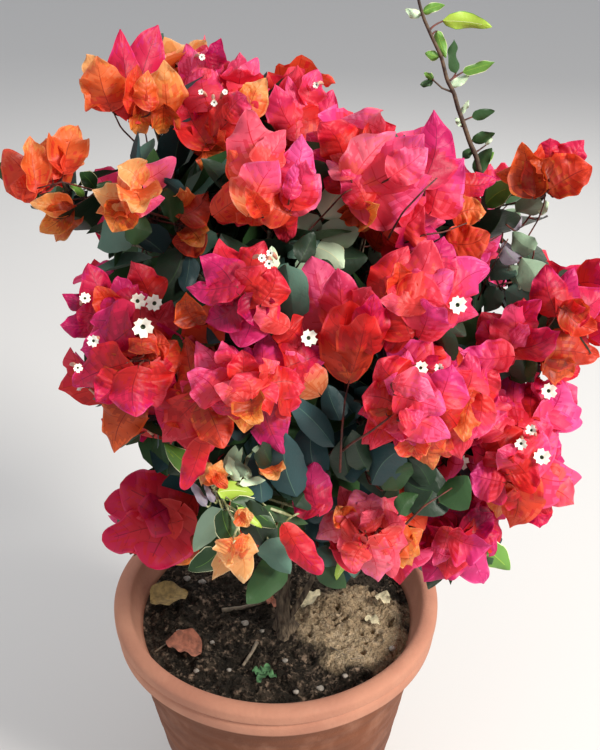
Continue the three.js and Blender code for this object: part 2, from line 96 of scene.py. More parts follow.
floor_half = 12
floor_mesh = bpy.data.meshes.new("floor")
floor_corners = [(-1, -1), (1, -1), (1, 1), (-1, 1)]
floor_mesh.from_pydata([(floor_half * x, floor_half * y, 0) for x, y in floor_corners], [], [(0, 1, 2, 3)])
floor = bpy.data.objects.new("floor", floor_mesh)
floor_paint = bpy.data.materials.new("floor_paint")
floor_paint.use_nodes = True
floor_paint.node_tree.nodes["Principled BSDF"].inputs["Base Color"].default_value = (0.72, 0.71, 0.69, 1)
floor_paint.node_tree.nodes["Principled BSDF"].inputs["Roughness"].default_value = 0.8
floor_mesh.materials.append(floor_paint)
bpy.context.scene.collection.objects.link(floor)

# Pot
# A thrown terracotta pot, 260 mm across its lip. The lip is rolled over in two bands, the wall
# shows faint rings from the potter's fingers, and the unglazed clay is mottled and dusty.
MM = 0.001
pot_height = 230
rim_radius = 130
rim_width = 13
lip_height = 26
neck_height = pot_height - lip_height
lower_band = 13
band_step = 1.5
neck_radius = 118
foot_radius = 85
wall = 9
floor_thickness = 14
corner_round = 3


class Value:
    """A socket of a material. Arithmetic on it adds Math nodes, and node() adds any other node."""

    def __init__(self, tree, socket=None):
        self.tree = tree
        self.socket = socket

    def node(self, kind, settings=None, links=None, output=0):
        made = self.tree.nodes.new(kind)
        for name, value in (settings or {}).items():
            setattr(made, name, value)
        for key, value in (links or {}).items():
            if isinstance(value, Value):
                self.tree.links.new(value.socket, made.inputs[key])
            else:
                made.inputs[key].default_value = value
        return Value(self.tree, made.outputs[output])

    def maths(self, operation, first, second):
        return self.node("ShaderNodeMath", {"operation": operation}, {0: first, 1: second})

    def __add__(self, other):
        return self.maths("ADD", self, other)

    def __radd__(self, other):
        return self.maths("ADD", other, self)

    def __mul__(self, other):
        return self.maths("MULTIPLY", self, other)

    def __rmul__(self, other):
        return self.maths("MULTIPLY", other, self)

    def mix(self, first, second):
        """Blends two colours by this value"""
        return self.node(
            "ShaderNodeMix", {"data_type": "RGBA"}, {"Factor": self, 6: first, 7: second}, output=2
        )

    def spread(self, low, high):
        """This value, stretched so that low to high becomes 0 to 1"""
        return self.node("ShaderNodeMapRange", {}, {"Value": self, "From Min": low, "From Max": high})


def colour(red, green, blue):
    """A colour as the eye reads it, from 0 to 255, in the renderer's own scale"""
    shares = [c / 255 for c in (red, green, blue)]
    return (*[c / 12.92 if c <= 0.04045 else ((c + 0.055) / 1.055) ** 2.4 for c in shares], 1)


def new_finish(name, settings):
    """A material, its Principled shader and its place socket"""
    finish = bpy.data.materials.new(name)
    finish.use_nodes = True
    tree = finish.node_tree
    shader = tree.nodes["Principled BSDF"]
    for key, value in settings.items():
        shader.inputs[key].default_value = value
    place = Value(tree).node("ShaderNodeTexCoord", output="Object")
    return finish, shader, place


def cloud(place, scale, detail=3, stretch=(1, 1, 1)):
    """Noise at a place, scale in clouds to the metre"""
    scaled = place.node("ShaderNodeMapping", {}, {"Vector": place, "Scale": stretch})
    return place.node("ShaderNodeTexNoise", {}, {"Vector": scaled, "Scale": scale, "Detail": detail})


def feed(shader, key, value):
    value.tree.links.new(value.socket, shader.inputs[key])


def bump(height, strength, depth):
    return height.node("ShaderNodeBump", {}, {"Height": height, "Strength": strength, "Distance": depth})


class Shape:
    """Gathers the points and faces of one piece, in millimetres"""

    def __init__(self):
        self.points = []
        self.normals = []
        self.faces = []
        self.count = 0

    def add(self, points, faces, normals=None):
        points = np.asarray(points, float).reshape(-1, 3)
        for block in faces:
            self.faces.extend((np.asarray(block) + self.count).tolist())
        self.points.append(points)
        if normals is not None:
            self.normals.append(np.asarray(normals).reshape(-1, 3))
        self.count += len(points)

    def piece(self, name, finish, slot, nodes=()):
        mesh = bpy.data.meshes.new(name)
        mesh.from_pydata((np.concatenate(self.points) * MM).tolist(), [], self.faces)
        mesh.shade_smooth()
        if self.normals:
            mesh.normals_split_custom_set_from_vertices(np.concatenate(self.normals).tolist())
        mesh.materials.append(finish)
        made = bpy.data.objects.new(name, mesh)
        bpy.context.scene.collection.objects.link(made)
        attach(made, "root")
        if nodes:
            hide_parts(*nodes)
        return made


def grid_faces(rows, columns, closed=False):
    """The quads of a grid of points, whose rows close on themselves if asked"""
    across = columns if closed else columns - 1
    row, column = np.meshgrid(np.arange(rows - 1), np.arange(across), indexing="ij")
    start = (row * columns + column).ravel()
    beside = (row * columns + (column + 1) % columns).ravel()
    return np.stack((start, beside, beside + columns, start + columns), 1)


def arc(middle, radii, start, end, steps):
    """Points of an elliptic arc in the pot's profile, its angles in degrees"""
    angles = np.radians(np.linspace(start, end, steps))
    return [(middle[0] + radii[0] * math.cos(a), middle[1] + radii[1] * math.sin(a)) for a in angles]


def straight(start, end, steps):
    return [tuple(p) for p in np.linspace(start, end, steps + 1)[:-1]]


lower_radius = rim_radius - band_step
band_top = neck_height + lower_band
inner_foot = foot_radius - wall
pot_turns = 180
pot_profile = [
    (0.01, 0), *straight((20, 0), (foot_radius - corner_round, 0), 3),
    *arc((foot_radius - corner_round, corner_round), (corner_round, corner_round), -90, 0, 5),
    *straight((foot_radius + 1, corner_round + 6), (neck_radius - 0.4, neck_height - 3), 60),
    (neck_radius, neck_height - 1.5), (neck_radius + 1.2, neck_height - 0.2),
    (lower_radius - 4, neck_height + 0.2),
    *arc((lower_radius - 2.6, neck_height + 3), (2.6, 2.8), -80, 0, 6),
    (lower_radius + 0.3, neck_height + 8), (lower_radius, band_top - 2.6),
    (lower_radius - 1.2, band_top - 1), (lower_radius - 1.6, band_top - 0.1),
    (lower_radius - 1, band_top + 0.9),
    *arc((rim_radius - 2.2, band_top + 3), (2.2, 2), -70, 0, 5),
    (rim_radius + 0.1, band_top + 5), (rim_radius, pot_height - 5),
    *arc((rim_radius - rim_width / 2, pot_height - 4.6), (rim_width / 2, 4.6), 8, 172, 14),
    (rim_radius - rim_width - 0.4, pot_height - 8), (neck_radius - wall + 5, neck_height + 6),
    *straight((neck_radius - wall, neck_height), (inner_foot, floor_thickness + 4), 20),
    (inner_foot - 4, floor_thickness), (0.01, floor_thickness),
]
profile = np.array(pot_profile)
pot_angles = np.linspace(0, 2 * math.pi, pot_turns, endpoint=False)
radius_grid = np.repeat(profile[:, :1], pot_turns, 1)
height_grid = np.repeat(profile[:, 1:], pot_turns, 1)
# Rings from the potter's fingers on the wall, and the slow wobble of a pot made by hand
throwing = 0.3 * np.sin(height_grid / 2.3 + 0.6 * np.sin(pot_angles)) + 0.25 * np.sin(height_grid / 5.1 + 2)
hand = 0.35 * np.sin(3 * pot_angles + height_grid / 60) + 0.2 * np.sin(7 * pot_angles - height_grid / 33)
on_wall = (height_grid > 6) & (radius_grid > inner_foot)
radius_grid = radius_grid + np.where(on_wall, hand + np.where(height_grid < neck_height - 4, throwing, 0), 0)
height_grid = height_grid + np.where(height_grid > neck_height, 0.25 * np.sin(2 * pot_angles + 1), 0)
pot_points = np.stack((radius_grid * np.cos(pot_angles), radius_grid * np.sin(pot_angles), height_grid), 2)
pot_shape = Shape()
pot_shape.add(pot_points, [grid_faces(len(profile), pot_turns, closed=True)])

clay, clay_shader, at = new_finish("clay", {"Roughness": 0.8})
blotches = cloud(at, 14, 5).spread(0.35, 0.68)
bands = cloud(at, 9, 4, (0.6, 0.6, 14)).spread(0.3, 0.72)
grains = cloud(at, 900, 2)
dust = cloud(at, 55, 6).spread(0.52, 0.8)
lip_clay = blotches.mix(colour(178, 120, 96), colour(204, 144, 116))
# The wall clay is painted darker than the lip's: painted shade under the rim's overhang, partly damp clay.
wall_clay = blotches.mix(colour(98, 51, 26), colour(120, 66, 38))
banded = (bands * 0.6).mix(wall_clay, colour(138, 80, 50))
upward = at.node("ShaderNodeSeparateXYZ", {}, {"Vector": at}, output=2)
wall_shade_and_lip = upward.spread(MM * (neck_height - 1), MM * (neck_height + 3)).mix(banded, lip_clay)
feed(clay_shader, "Base Color", (dust * 0.2).mix(wall_shade_and_lip, colour(214, 164, 138)))
feed(clay_shader, "Roughness", 0.72 + 0.2 * blotches)
feed(clay_shader, "Normal", bump(grains + 2 * cloud(at, 260, 3), 0.35, 0.0006))
pot_shape.piece("terracotta_pot", clay, "terracotta", ["pot"])

# Soil
# Dry garden soil fills the pot to a finger below the lip: dark crumbs, one pale baked clod at the
# front right and a level spot round the trunk's foot. The clod's pale colour is partly a painted pool
# of sunlight on its dry crust, and the dark soil has painted shade in its hollows and painted light
# on some crumbs. It is one closed body, crumbs and all.
soil_edge = 203.5
soil_rise = 4
level_radius = 27
level_blend = 16
clod = {"x": 58, "y": -66, "size": 24, "height": 7}
crumb_waves = [(1.6, 0.13, 0.11, 1), (1.2, 0.07, -0.19, 0)]
# Each size of crumb: how high and how wide it is, and its seed
crumb_sizes = [(3.4, 13, 5), (2.6, 6.5, 9), (1.5, 3.4, 2)]
crumb_sink = 4.2
crust_middle = (62, -24)
crust_half = (46, 54)
crust_crumbs = (1.4, 5, 3)
pit_width = 13
pit_depth = 5.5
trunk_foot = np.array((7, -24, soil_edge + soil_rise))
soil_radius = neck_radius - wall + 0.3


def smooth(low, high, value):
    share = np.clip((value - low) / (high - low), 0, 1)
    return share * share * (3 - 2 * share)


def soil_base(x, y):
    """The soil's height in the large, as the solid soil has it"""
    inner = np.maximum(0, 1 - (np.hypot(x, y) / (neck_radius - wall)) ** 4)
    rough = smooth(level_radius, level_radius + level_blend, np.hypot(x - trunk_foot[0], y - trunk_foot[1]))
    mound = clod["height"] * np.exp(-((x - clod["x"]) ** 2 + (y - clod["y"]) ** 2) / clod["size"] ** 2)
    waves = sum(high * np.sin(a * x + b * y + phase) for high, a, b, phase in crumb_waves)
    return soil_edge + soil_rise * np.minimum(1, 4 * inner) + rough * inner * (mound + waves)


def crumb(x, y, grain, seed):
    """The height of rounded crumbs of mixed sizes, and 0 on the ground between them"""
    nearest, places = noise.voronoi(Vector((x / grain, y / grain, seed)))
    size = 0.42 + 0.24 * noise.cell(places[0] * 9)
    return 1.5 * size * math.sqrt(max(0, 1 - (nearest[0] / size) ** 2))


def soil_height(x, y):
    """The soil's height with its clods and crumbs, and the pitted crust of the baked clod"""
    big = noise.noise(Vector((x / 17, y / 17, 3)))
    fine = noise.fractal(Vector((x / 3.2, y / 3.2, 1)), 0.6, 2.1, 3)
    uneven = noise.fractal(Vector((x / 9, y / 9, 6)), 0.7, 2.2, 4)
    near = float(smooth(9, 22, math.hypot(x - trunk_foot[0], y - trunk_foot[1])))
    edge = float(smooth(soil_radius, soil_radius - 7, math.hypot(x, y)))
    lumps = sum(high * crumb(x, y, grain, seed) for high, grain, seed in crumb_sizes) - crumb_sink
    from_crust = math.hypot((x - crust_middle[0]) / crust_half[0], (y - crust_middle[1]) / crust_half[1])
    from_crust += 0.25 * noise.noise(Vector((x / 16, y / 16, 7)))
    crust = float(smooth(1.0, 0.9, from_crust))
    pit, _ = noise.voronoi(Vector((x / pit_width, y / pit_width, 4)))
    pits = pit_depth * float(smooth(0.3, 0.16, pit[0]))
    high, grain, seed = crust_crumbs
    flat = 0.6 + high * crumb(x, y, grain, seed) + 0.9 * fine - pits
    rough = 1.6 * big + 1.8 * uneven + lumps + (flat - lumps) * crust + 0.7 * fine
    return float(soil_base(x, y)) + (0.3 + 0.7 * near) * edge * rough


soil_bottom = soil_edge - 24
soil_rings = 140
soil_turns = 390
soil_angles = np.linspace(0, 2 * math.pi, soil_turns, endpoint=False)
soil_points = []
for k in range(soil_rings + 1):
    reach = max(0.05, soil_radius * (k / soil_rings))
    for turn in soil_angles:
        x, y = reach * math.cos(turn), reach * math.sin(turn)
        soil_points.append((x, y, soil_height(x, y)))
underside = [(soil_radius - 1, soil_edge - 12), (soil_radius - 4, soil_bottom), (0.05, soil_bottom)]
for reach, height in underside:
    soil_points.extend((reach * math.cos(turn), reach * math.sin(turn), height) for turn in soil_angles)
soil_shape = Shape()
soil_shape.add(soil_points, [grid_faces(soil_rings + 1 + len(underside), soil_turns, closed=True)[:, ::-1]])

earth, earth_shader, at = new_finish("earth", {"Roughness": 0.95, "Specular IOR Level": 0.2})
damp = cloud(at, 16, 4).spread(0.38, 0.62)
specks = cloud(at, 700, 3).spread(0.5, 0.72)
wander = at.node("ShaderNodeTexNoise", {}, {"Vector": at, "Scale": 150, "Detail": 3}, output=1)
wandered = at.node(
    "ShaderNodeVectorMath", {"operation": "MULTIPLY_ADD"}, {0: wander, 1: (0.008, 0.008, 0.008), 2: at}
)
grains = at.node("ShaderNodeTexVoronoi", {}, {"Vector": wandered, "Scale": 230}, output=1).spread(0.5, 0.95)
# Painted light and shade: the ground between the raised crumbs is nearly black, as shade in the hollows, and
# scattered crumbs are painted paler as if lit. The raised crumbs also drive the bump.
raised_and_hollow_shade = (cloud(at, 110, 8) + 0.7 * cloud(at, 420, 5)).spread(0.7, 0.92)
lit_crumbs = cloud(at, 210, 6).spread(0.52, 0.68) * cloud(at, 45, 3).spread(0.36, 0.6)
# The pale crust at the front right is partly a painted pool of sunlight on the dry clod.
sunlit_clod_place = tuple(MM * place for place in (*crust_middle, soil_edge + 5.5))
from_sunlit_clod = at.node("ShaderNodeVectorMath", {"operation": "DISTANCE"}, {0: at, 1: sunlit_clod_place}, output=1)
sunlit_crust_share = (from_sunlit_clod + 0.1 * cloud(at, 32, 7)).spread(0.102, 0.088)
moist = (0.25 * grains).mix(damp.mix(colour(40, 35, 28), colour(66, 57, 47)), colour(128, 108, 92))
loose_and_lit_crumbs = (0.9 * lit_crumbs).mix(moist, colour(168, 144, 122))
dark_soil = raised_and_hollow_shade.mix(colour(34, 29, 22), loose_and_lit_crumbs)
sunlit_crust_soil = (0.4 * grains).mix(damp.mix(colour(160, 136, 106), colour(204, 180, 144)), colour(232, 212, 182))
sunlit_pale_soil = specks.mix(sunlit_crust_soil, colour(146, 122, 96))
feed(earth_shader, "Base Color", sunlit_crust_share.mix(dark_soil, sunlit_pale_soil))
relief = raised_and_hollow_shade + cloud(at, 210, 6) + 0.8 * cloud(at, 900, 4)
feed(earth_shader, "Normal", bump(relief, 1.0, 0.003))
soil_shape.piece("garden_soil", earth, "soil", ["soil"])

# Trunk and boughs
# Living wood under thin grey-brown bark with fine lengthwise cracks. The trunk flares into its
# roots at the soil and forks; each bough leaves an older limb and tapers to its own mass.
seat = 0.3
trunk_bend = np.array((4.0, -27.0, 248.0))
trunk_fork = np.array((9.0, -20.0, 284.0))
trunk_radius = 5.6
fork_radius = 4.6
flare_radius = 11
flare_height = 7
side_stem = {"mass": "bottom_right", "at": 0.09, "lead": np.array((0.9, -0.1, 0.9))}
bough_tip = 1.5
bough_thin = 1.7
bough_gain = 0.75
trunk_joins = (0.5, 0.97)
bough_joins = (0.2, 0.8)
join_step = 0.03
bough_room = 7.5
join_room = 15
join_spacing = 8
limb_pitch = 3
crown_heart = np.array((8.0, -5.0, 400.0))
up = np.array((0.0, 0.0, 1.0))
shoot_way = np.array((-0.35, 0.02, 0.94))
shoot_way /= np.linalg.norm(shoot_way)

# Each mass: turn from the front in degrees, distance out, height and reach, as in the solids.
mass_places = {
    "top_left": (-93, 84, 634, 42), "top": (-140, 20, 608, 48), "left_wing": (-82, 140, 579, 43),
    "left_shoulder": (-53, 99, 584, 42), "upper_middle": (0, 78, 604, 46),
    "upper_right": (59, 88, 598, 56), "right_wing": (88, 172, 584, 42),
    "right_edge": (71, 182, 510, 52), "left_side": (-30, 136, 488, 57),
    "middle_left": (-7, 122, 552, 46), "heart": (-5, 145, 496, 50), "middle": (34, 130, 548, 54),
    "centre_low": (29, 152, 486, 52), "lower_right": (64, 162, 420, 55),
    "bottom_right": (55, 148, 352, 48), "bottom_middle": (29, 122, 376, 46),
    "bottom_left": (-39, 124, 370, 50), "young_shoots": (-9, 130, 412, 46),
    "tall_shoot": (92, 110, 640, 60), "back_top": (-165, 92, 590, 60),
    "back_left": (-130, 118, 494, 64), "back_middle": (172, 136, 488, 66),
    "back_right": (122, 150, 520, 68), "back_low_left": (-140, 120, 390, 60),
    "back_low_right": (125, 122, 400, 60),
}


def unit(vector):
    return vector / np.linalg.norm(vector)


def seeded(seed):
    """A seeded random sequence, the same one that the solids' twigs follow"""
    state = seed
    while True:
        state = state * 48271 % 2147483647
        yield state / 2147483647


class Mass:
    """The room of one mass of twigs and leaves, and where its bough ends"""

    def __init__(self, number, name, turn, out, height, reach):
        angle = math.radians(turn)
        self.number = number
        self.name = name
        self.centre = np.array((out * math.sin(angle), -out * math.cos(angle), height))
        self.reach = reach
        shoot = name == "tall_shoot"
        self.outward = shoot_way if shoot else unit(self.centre - crown_heart)
        self.tip = self.centre - self.outward * (1.15 * reach if shoot else 0.5 * reach + 20)


crown = [Mass(number, name, *row) for number, (name, row) in enumerate(mass_places.items())]


def along_curve(controls, t):
    """Points of a curve with three or four control points, at one or many places from 0 to 1"""
    t = np.asarray(t, float)[..., None]
    points = list(controls)
    while len(points) > 1:
        points = [a + (b - a) * t for a, b in zip(points, points[1:])]
    return points[0]


class Limb:
    """The trunk, or a bough with the limb that it grows from"""

    def __init__(self, controls, before=0.0, parent=None, mass=None, length=None):
        self.controls = controls
        self.before = before
        self.parent = parent
        self.mass = mass
        self.load = 1
        steps = along_curve(controls, np.linspace(0, 1, 201))
        self.length = length or float(np.linalg.norm(np.diff(steps, axis=0), axis=1).sum())
        count = max(2, math.ceil(self.length / limb_pitch))
        self.middle = along_curve(controls, np.linspace(0, 1, count + 1))

    def tangent(self, t):
        near, far = along_curve(self.controls, [max(0, t - 1e-4), min(1, t + 1e-4)])
        return unit(far - near)

    def radius(self, t):
        if self.parent is None:
            height = t * (trunk_fork[2] - trunk_foot[2])
            flare = (flare_radius - trunk_radius) * np.exp(-height / flare_height)
            return trunk_radius + (fork_radius - trunk_radius) * t + flare
        thick = bough_thin + bough_gain * math.sqrt(self.load)
        return thick + (bough_tip - thick) * t ** 0.8


trunk = Limb([trunk_foot + seat * up, trunk_bend, trunk_fork], length=np.linalg.norm(trunk_fork - trunk_foot))
limbs = [trunk]


def bough_controls(start, lead, mass):
    span = np.linalg.norm(mass.tip - start)
    leave = unit(unit(mass.tip - start) + 0.6 * lead)
    rising = start + leave * span * 0.36 + up * span * 0.05
    return [start, rising, mass.tip - mass.outward * span * 0.3, mass.tip]


def is_clear(middle, join):
    """True if a bough keeps its distance from the older limbs, away from where it joins"""
    own = middle[np.linalg.norm(middle - join, axis=1) >= join_room]
    for limb in limbs:
        old = limb.middle[np.linalg.norm(limb.middle - join, axis=1) >= join_room]
        if len(own) and len(old):
            apart = np.linalg.norm(own[:, None] - old[None], axis=2)
            if apart.min() <= bough_room:
                return False
    return True


def join_choices(mass):
    if mass.name == side_stem["mass"]:
        return [(0, trunk, along_curve(trunk.controls, side_stem["at"]), side_stem["lead"], 0)]
    choices = []
    for parent in limbs:
        if parent.mass == side_stem["mass"]:
            continue
        t, highest = trunk_joins if parent is trunk else bough_joins
        while t < highest + join_step / 2:
            start = along_curve(parent.controls, t)
            lead = parent.tangent(t)
            way = mass.tip - start
            span = np.linalg.norm(way)
            before = parent.before + parent.length * t
            cost = span * (1 + 0.45 * (1 - lead @ way / span)) + 0.22 * before
            choices.append((cost, parent, start, lead, before))
            t += join_step
    return sorted(choices, key=lambda choice: choice[0])


def from_fork(mass):
    return 0 if mass.name == side_stem["mass"] else np.linalg.norm(mass.tip - trunk_fork)


for mass in sorted(crown, key=from_fork):
    for _, parent, start, lead, before in join_choices(mass):
        if any(np.linalg.norm(limb.controls[0] - start) < join_spacing for limb in limbs[1:]):
            continue
        bough = Limb(bough_controls(start, lead, mass), before, parent, mass.name)
        if is_clear(bough.middle, start):
            limbs.append(bough)
            break
for bough in limbs[1:]:
    older = bough.parent
    while older is not trunk:
        older.load += 1
        older = older.parent


def frames_along(points):
    """Two directions square to a line of points, at each point, with no sudden turn"""
    ways = np.gradient(points, axis=0)
    ways /= np.linalg.norm(ways, axis=1)[:, None]
    side = np.array((1.0, 0.2, 0.1))
    sides = []
    for way in ways:
        side = unit(side - way * (side @ way))
        sides.append(side)
    sides = np.array(sides)
    return sides, np.cross(ways, sides)


def tube(shape, points, radii, sides=6, relief=None):
    """A round stalk along points, with closed ends, and relief added to its radius"""
    points = np.asarray(points, float)
    u, v = frames_along(points)
    angles = np.linspace(0, 2 * math.pi, sides, endpoint=False)
    reach = np.broadcast_to(np.asarray(radii, float)[:, None], (len(points), sides))
    if relief is not None:
        reach = reach + relief
    rings = points[:, None] + reach[..., None] * (
        u[:, None] * np.cos(angles)[:, None] + v[:, None] * np.sin(angles)[:, None]
    )
    last = (len(points) - 1) * sides
    ends = [[*range(sides - 1, -1, -1)], [*range(last, last + sides)]]
    shape.add(rings, [grid_faces(len(points), sides, closed=True), ends[:1], ends[1:]])


def bark_relief(length, turns, along, radius, seed):
    """Lengthwise cracks, rings and knots, as shares of the limb's radius"""
    angle = np.linspace(0, 2 * math.pi, turns, endpoint=False)[None]
    far = (np.linspace(0, 1, along) * length)[:, None]
    wander = 0.5 * np.sin(far / 9 + seed) + 0.3 * np.sin(far / 4.3 + 2 * seed)
    ridges = 0.5 * np.sin(7 * angle + 3 * wander + seed) + 0.35 * np.sin(12 * angle - 4 * wander)
    rings = 0.4 * np.sin(far / 2.1 + 0.8 * np.sin(angle + seed)) * (np.sin(far / 13 + seed) > 0.2)
    from_knot = (far + 11 * seed) % 23 - 11
    knots = np.exp(-(from_knot / 2.2) ** 2) * np.maximum(0, np.cos(angle - seed * far // 23))
    return radius[:, None] * (0.09 * ridges + 0.06 * rings + 0.28 * knots)


trunk_shape = Shape()
bough_shape = Shape()
for number, limb in enumerate(limbs):
    is_trunk = limb is trunk
    count = round(limb.length / (0.9 if is_trunk else 1.6))
    t = np.linspace(0, 1, count)
    middle = along_curve(limb.controls, t)
    if is_trunk:
        middle[:, 2] -= np.maximum(0, 1 - t * 12) * 3
    radii = limb.radius(t)
    swell = np.exp(-t * limb.length / 5) * (0.35 if limb.parent else 0)
    sides = 30 if is_trunk else 12
    relief = bark_relief(limb.length, sides, count, radii, 1.7 * number)
    if is_trunk:
        turn = np.linspace(0, 2 * math.pi, sides, endpoint=False)[None]
        relief = relief + 0.28 * radii[:, None] * np.exp(-t * 9)[:, None] * np.cos(3 * turn - 0.4)
    tube(trunk_shape if is_trunk else bough_shape, middle, radii * (1 + swell), sides, relief)

bark, bark_shader, at = new_finish("bark", {"Roughness": 0.85, "Specular IOR Level": 0.3})
streaks = cloud(at, 520, 4, (1, 1, 0.18)).spread(0.35, 0.68)
patches = cloud(at, 70, 3).spread(0.4, 0.66)
aged = patches.mix(colour(104, 92, 76), colour(150, 132, 108))
feed(bark_shader, "Base Color", streaks.mix(colour(58, 48, 40), aged))
feed(bark_shader, "Normal", bump(streaks + cloud(at, 1500, 2), 0.6, 0.0008))
trunk_shape.piece("trunk_bark", bark, "bark", ["trunk"])
bough_shape.piece("bough_bark", bark, "bark", [f"bough_{mass.name}" for mass in crown])

# Blooms that show
# The sprays at the front of the crown, each bract, leaf and flower where the photograph has it.
# Each hangs on thin stalks that branch from its mass's stem, and rests on that mass's outside.
eye = np.array(camera_place) / MM
ahead = np.array((0, math.cos(camera_dip), -math.sin(camera_dip)))
above = np.array((0, math.sin(camera_dip), math.cos(camera_dip)))
sideways = np.array((1.0, 0.0, 0.0))
picture_middle = (300, 375)
# How far, in millimetres, each bract stands in front of the one in the row before
layer = 1.3


def sight(u, v):
    """The line of sight through a place in the picture, for one millimetre ahead"""
    across = (u - picture_middle[0]) / focal_pixels
    return ahead + sideways * across + above * (picture_middle[1] - v) / focal_pixels


def depth_on(mass, u, v):
    """How far ahead of the camera a line of sight meets the outside of a mass, or the tall shoot"""
    if mass.name == "tall_shoot":
        return shoot_depth["depth"] + shoot_depth["fall"] * (v - shoot_depth["place"])
    way = sight(u, v)
    nearest = way @ (mass.centre - eye) / (way @ way)
    miss = np.linalg.norm(eye + way * nearest - mass.centre)
    inside = max(0, (0.8 * mass.reach) ** 2 - miss ** 2)
    return nearest - math.sqrt(inside / (way @ way))


def seen_place(mass, u, v, nearer=0):
    return eye + sight(u, v) * (depth_on(mass, u, v) - nearer)


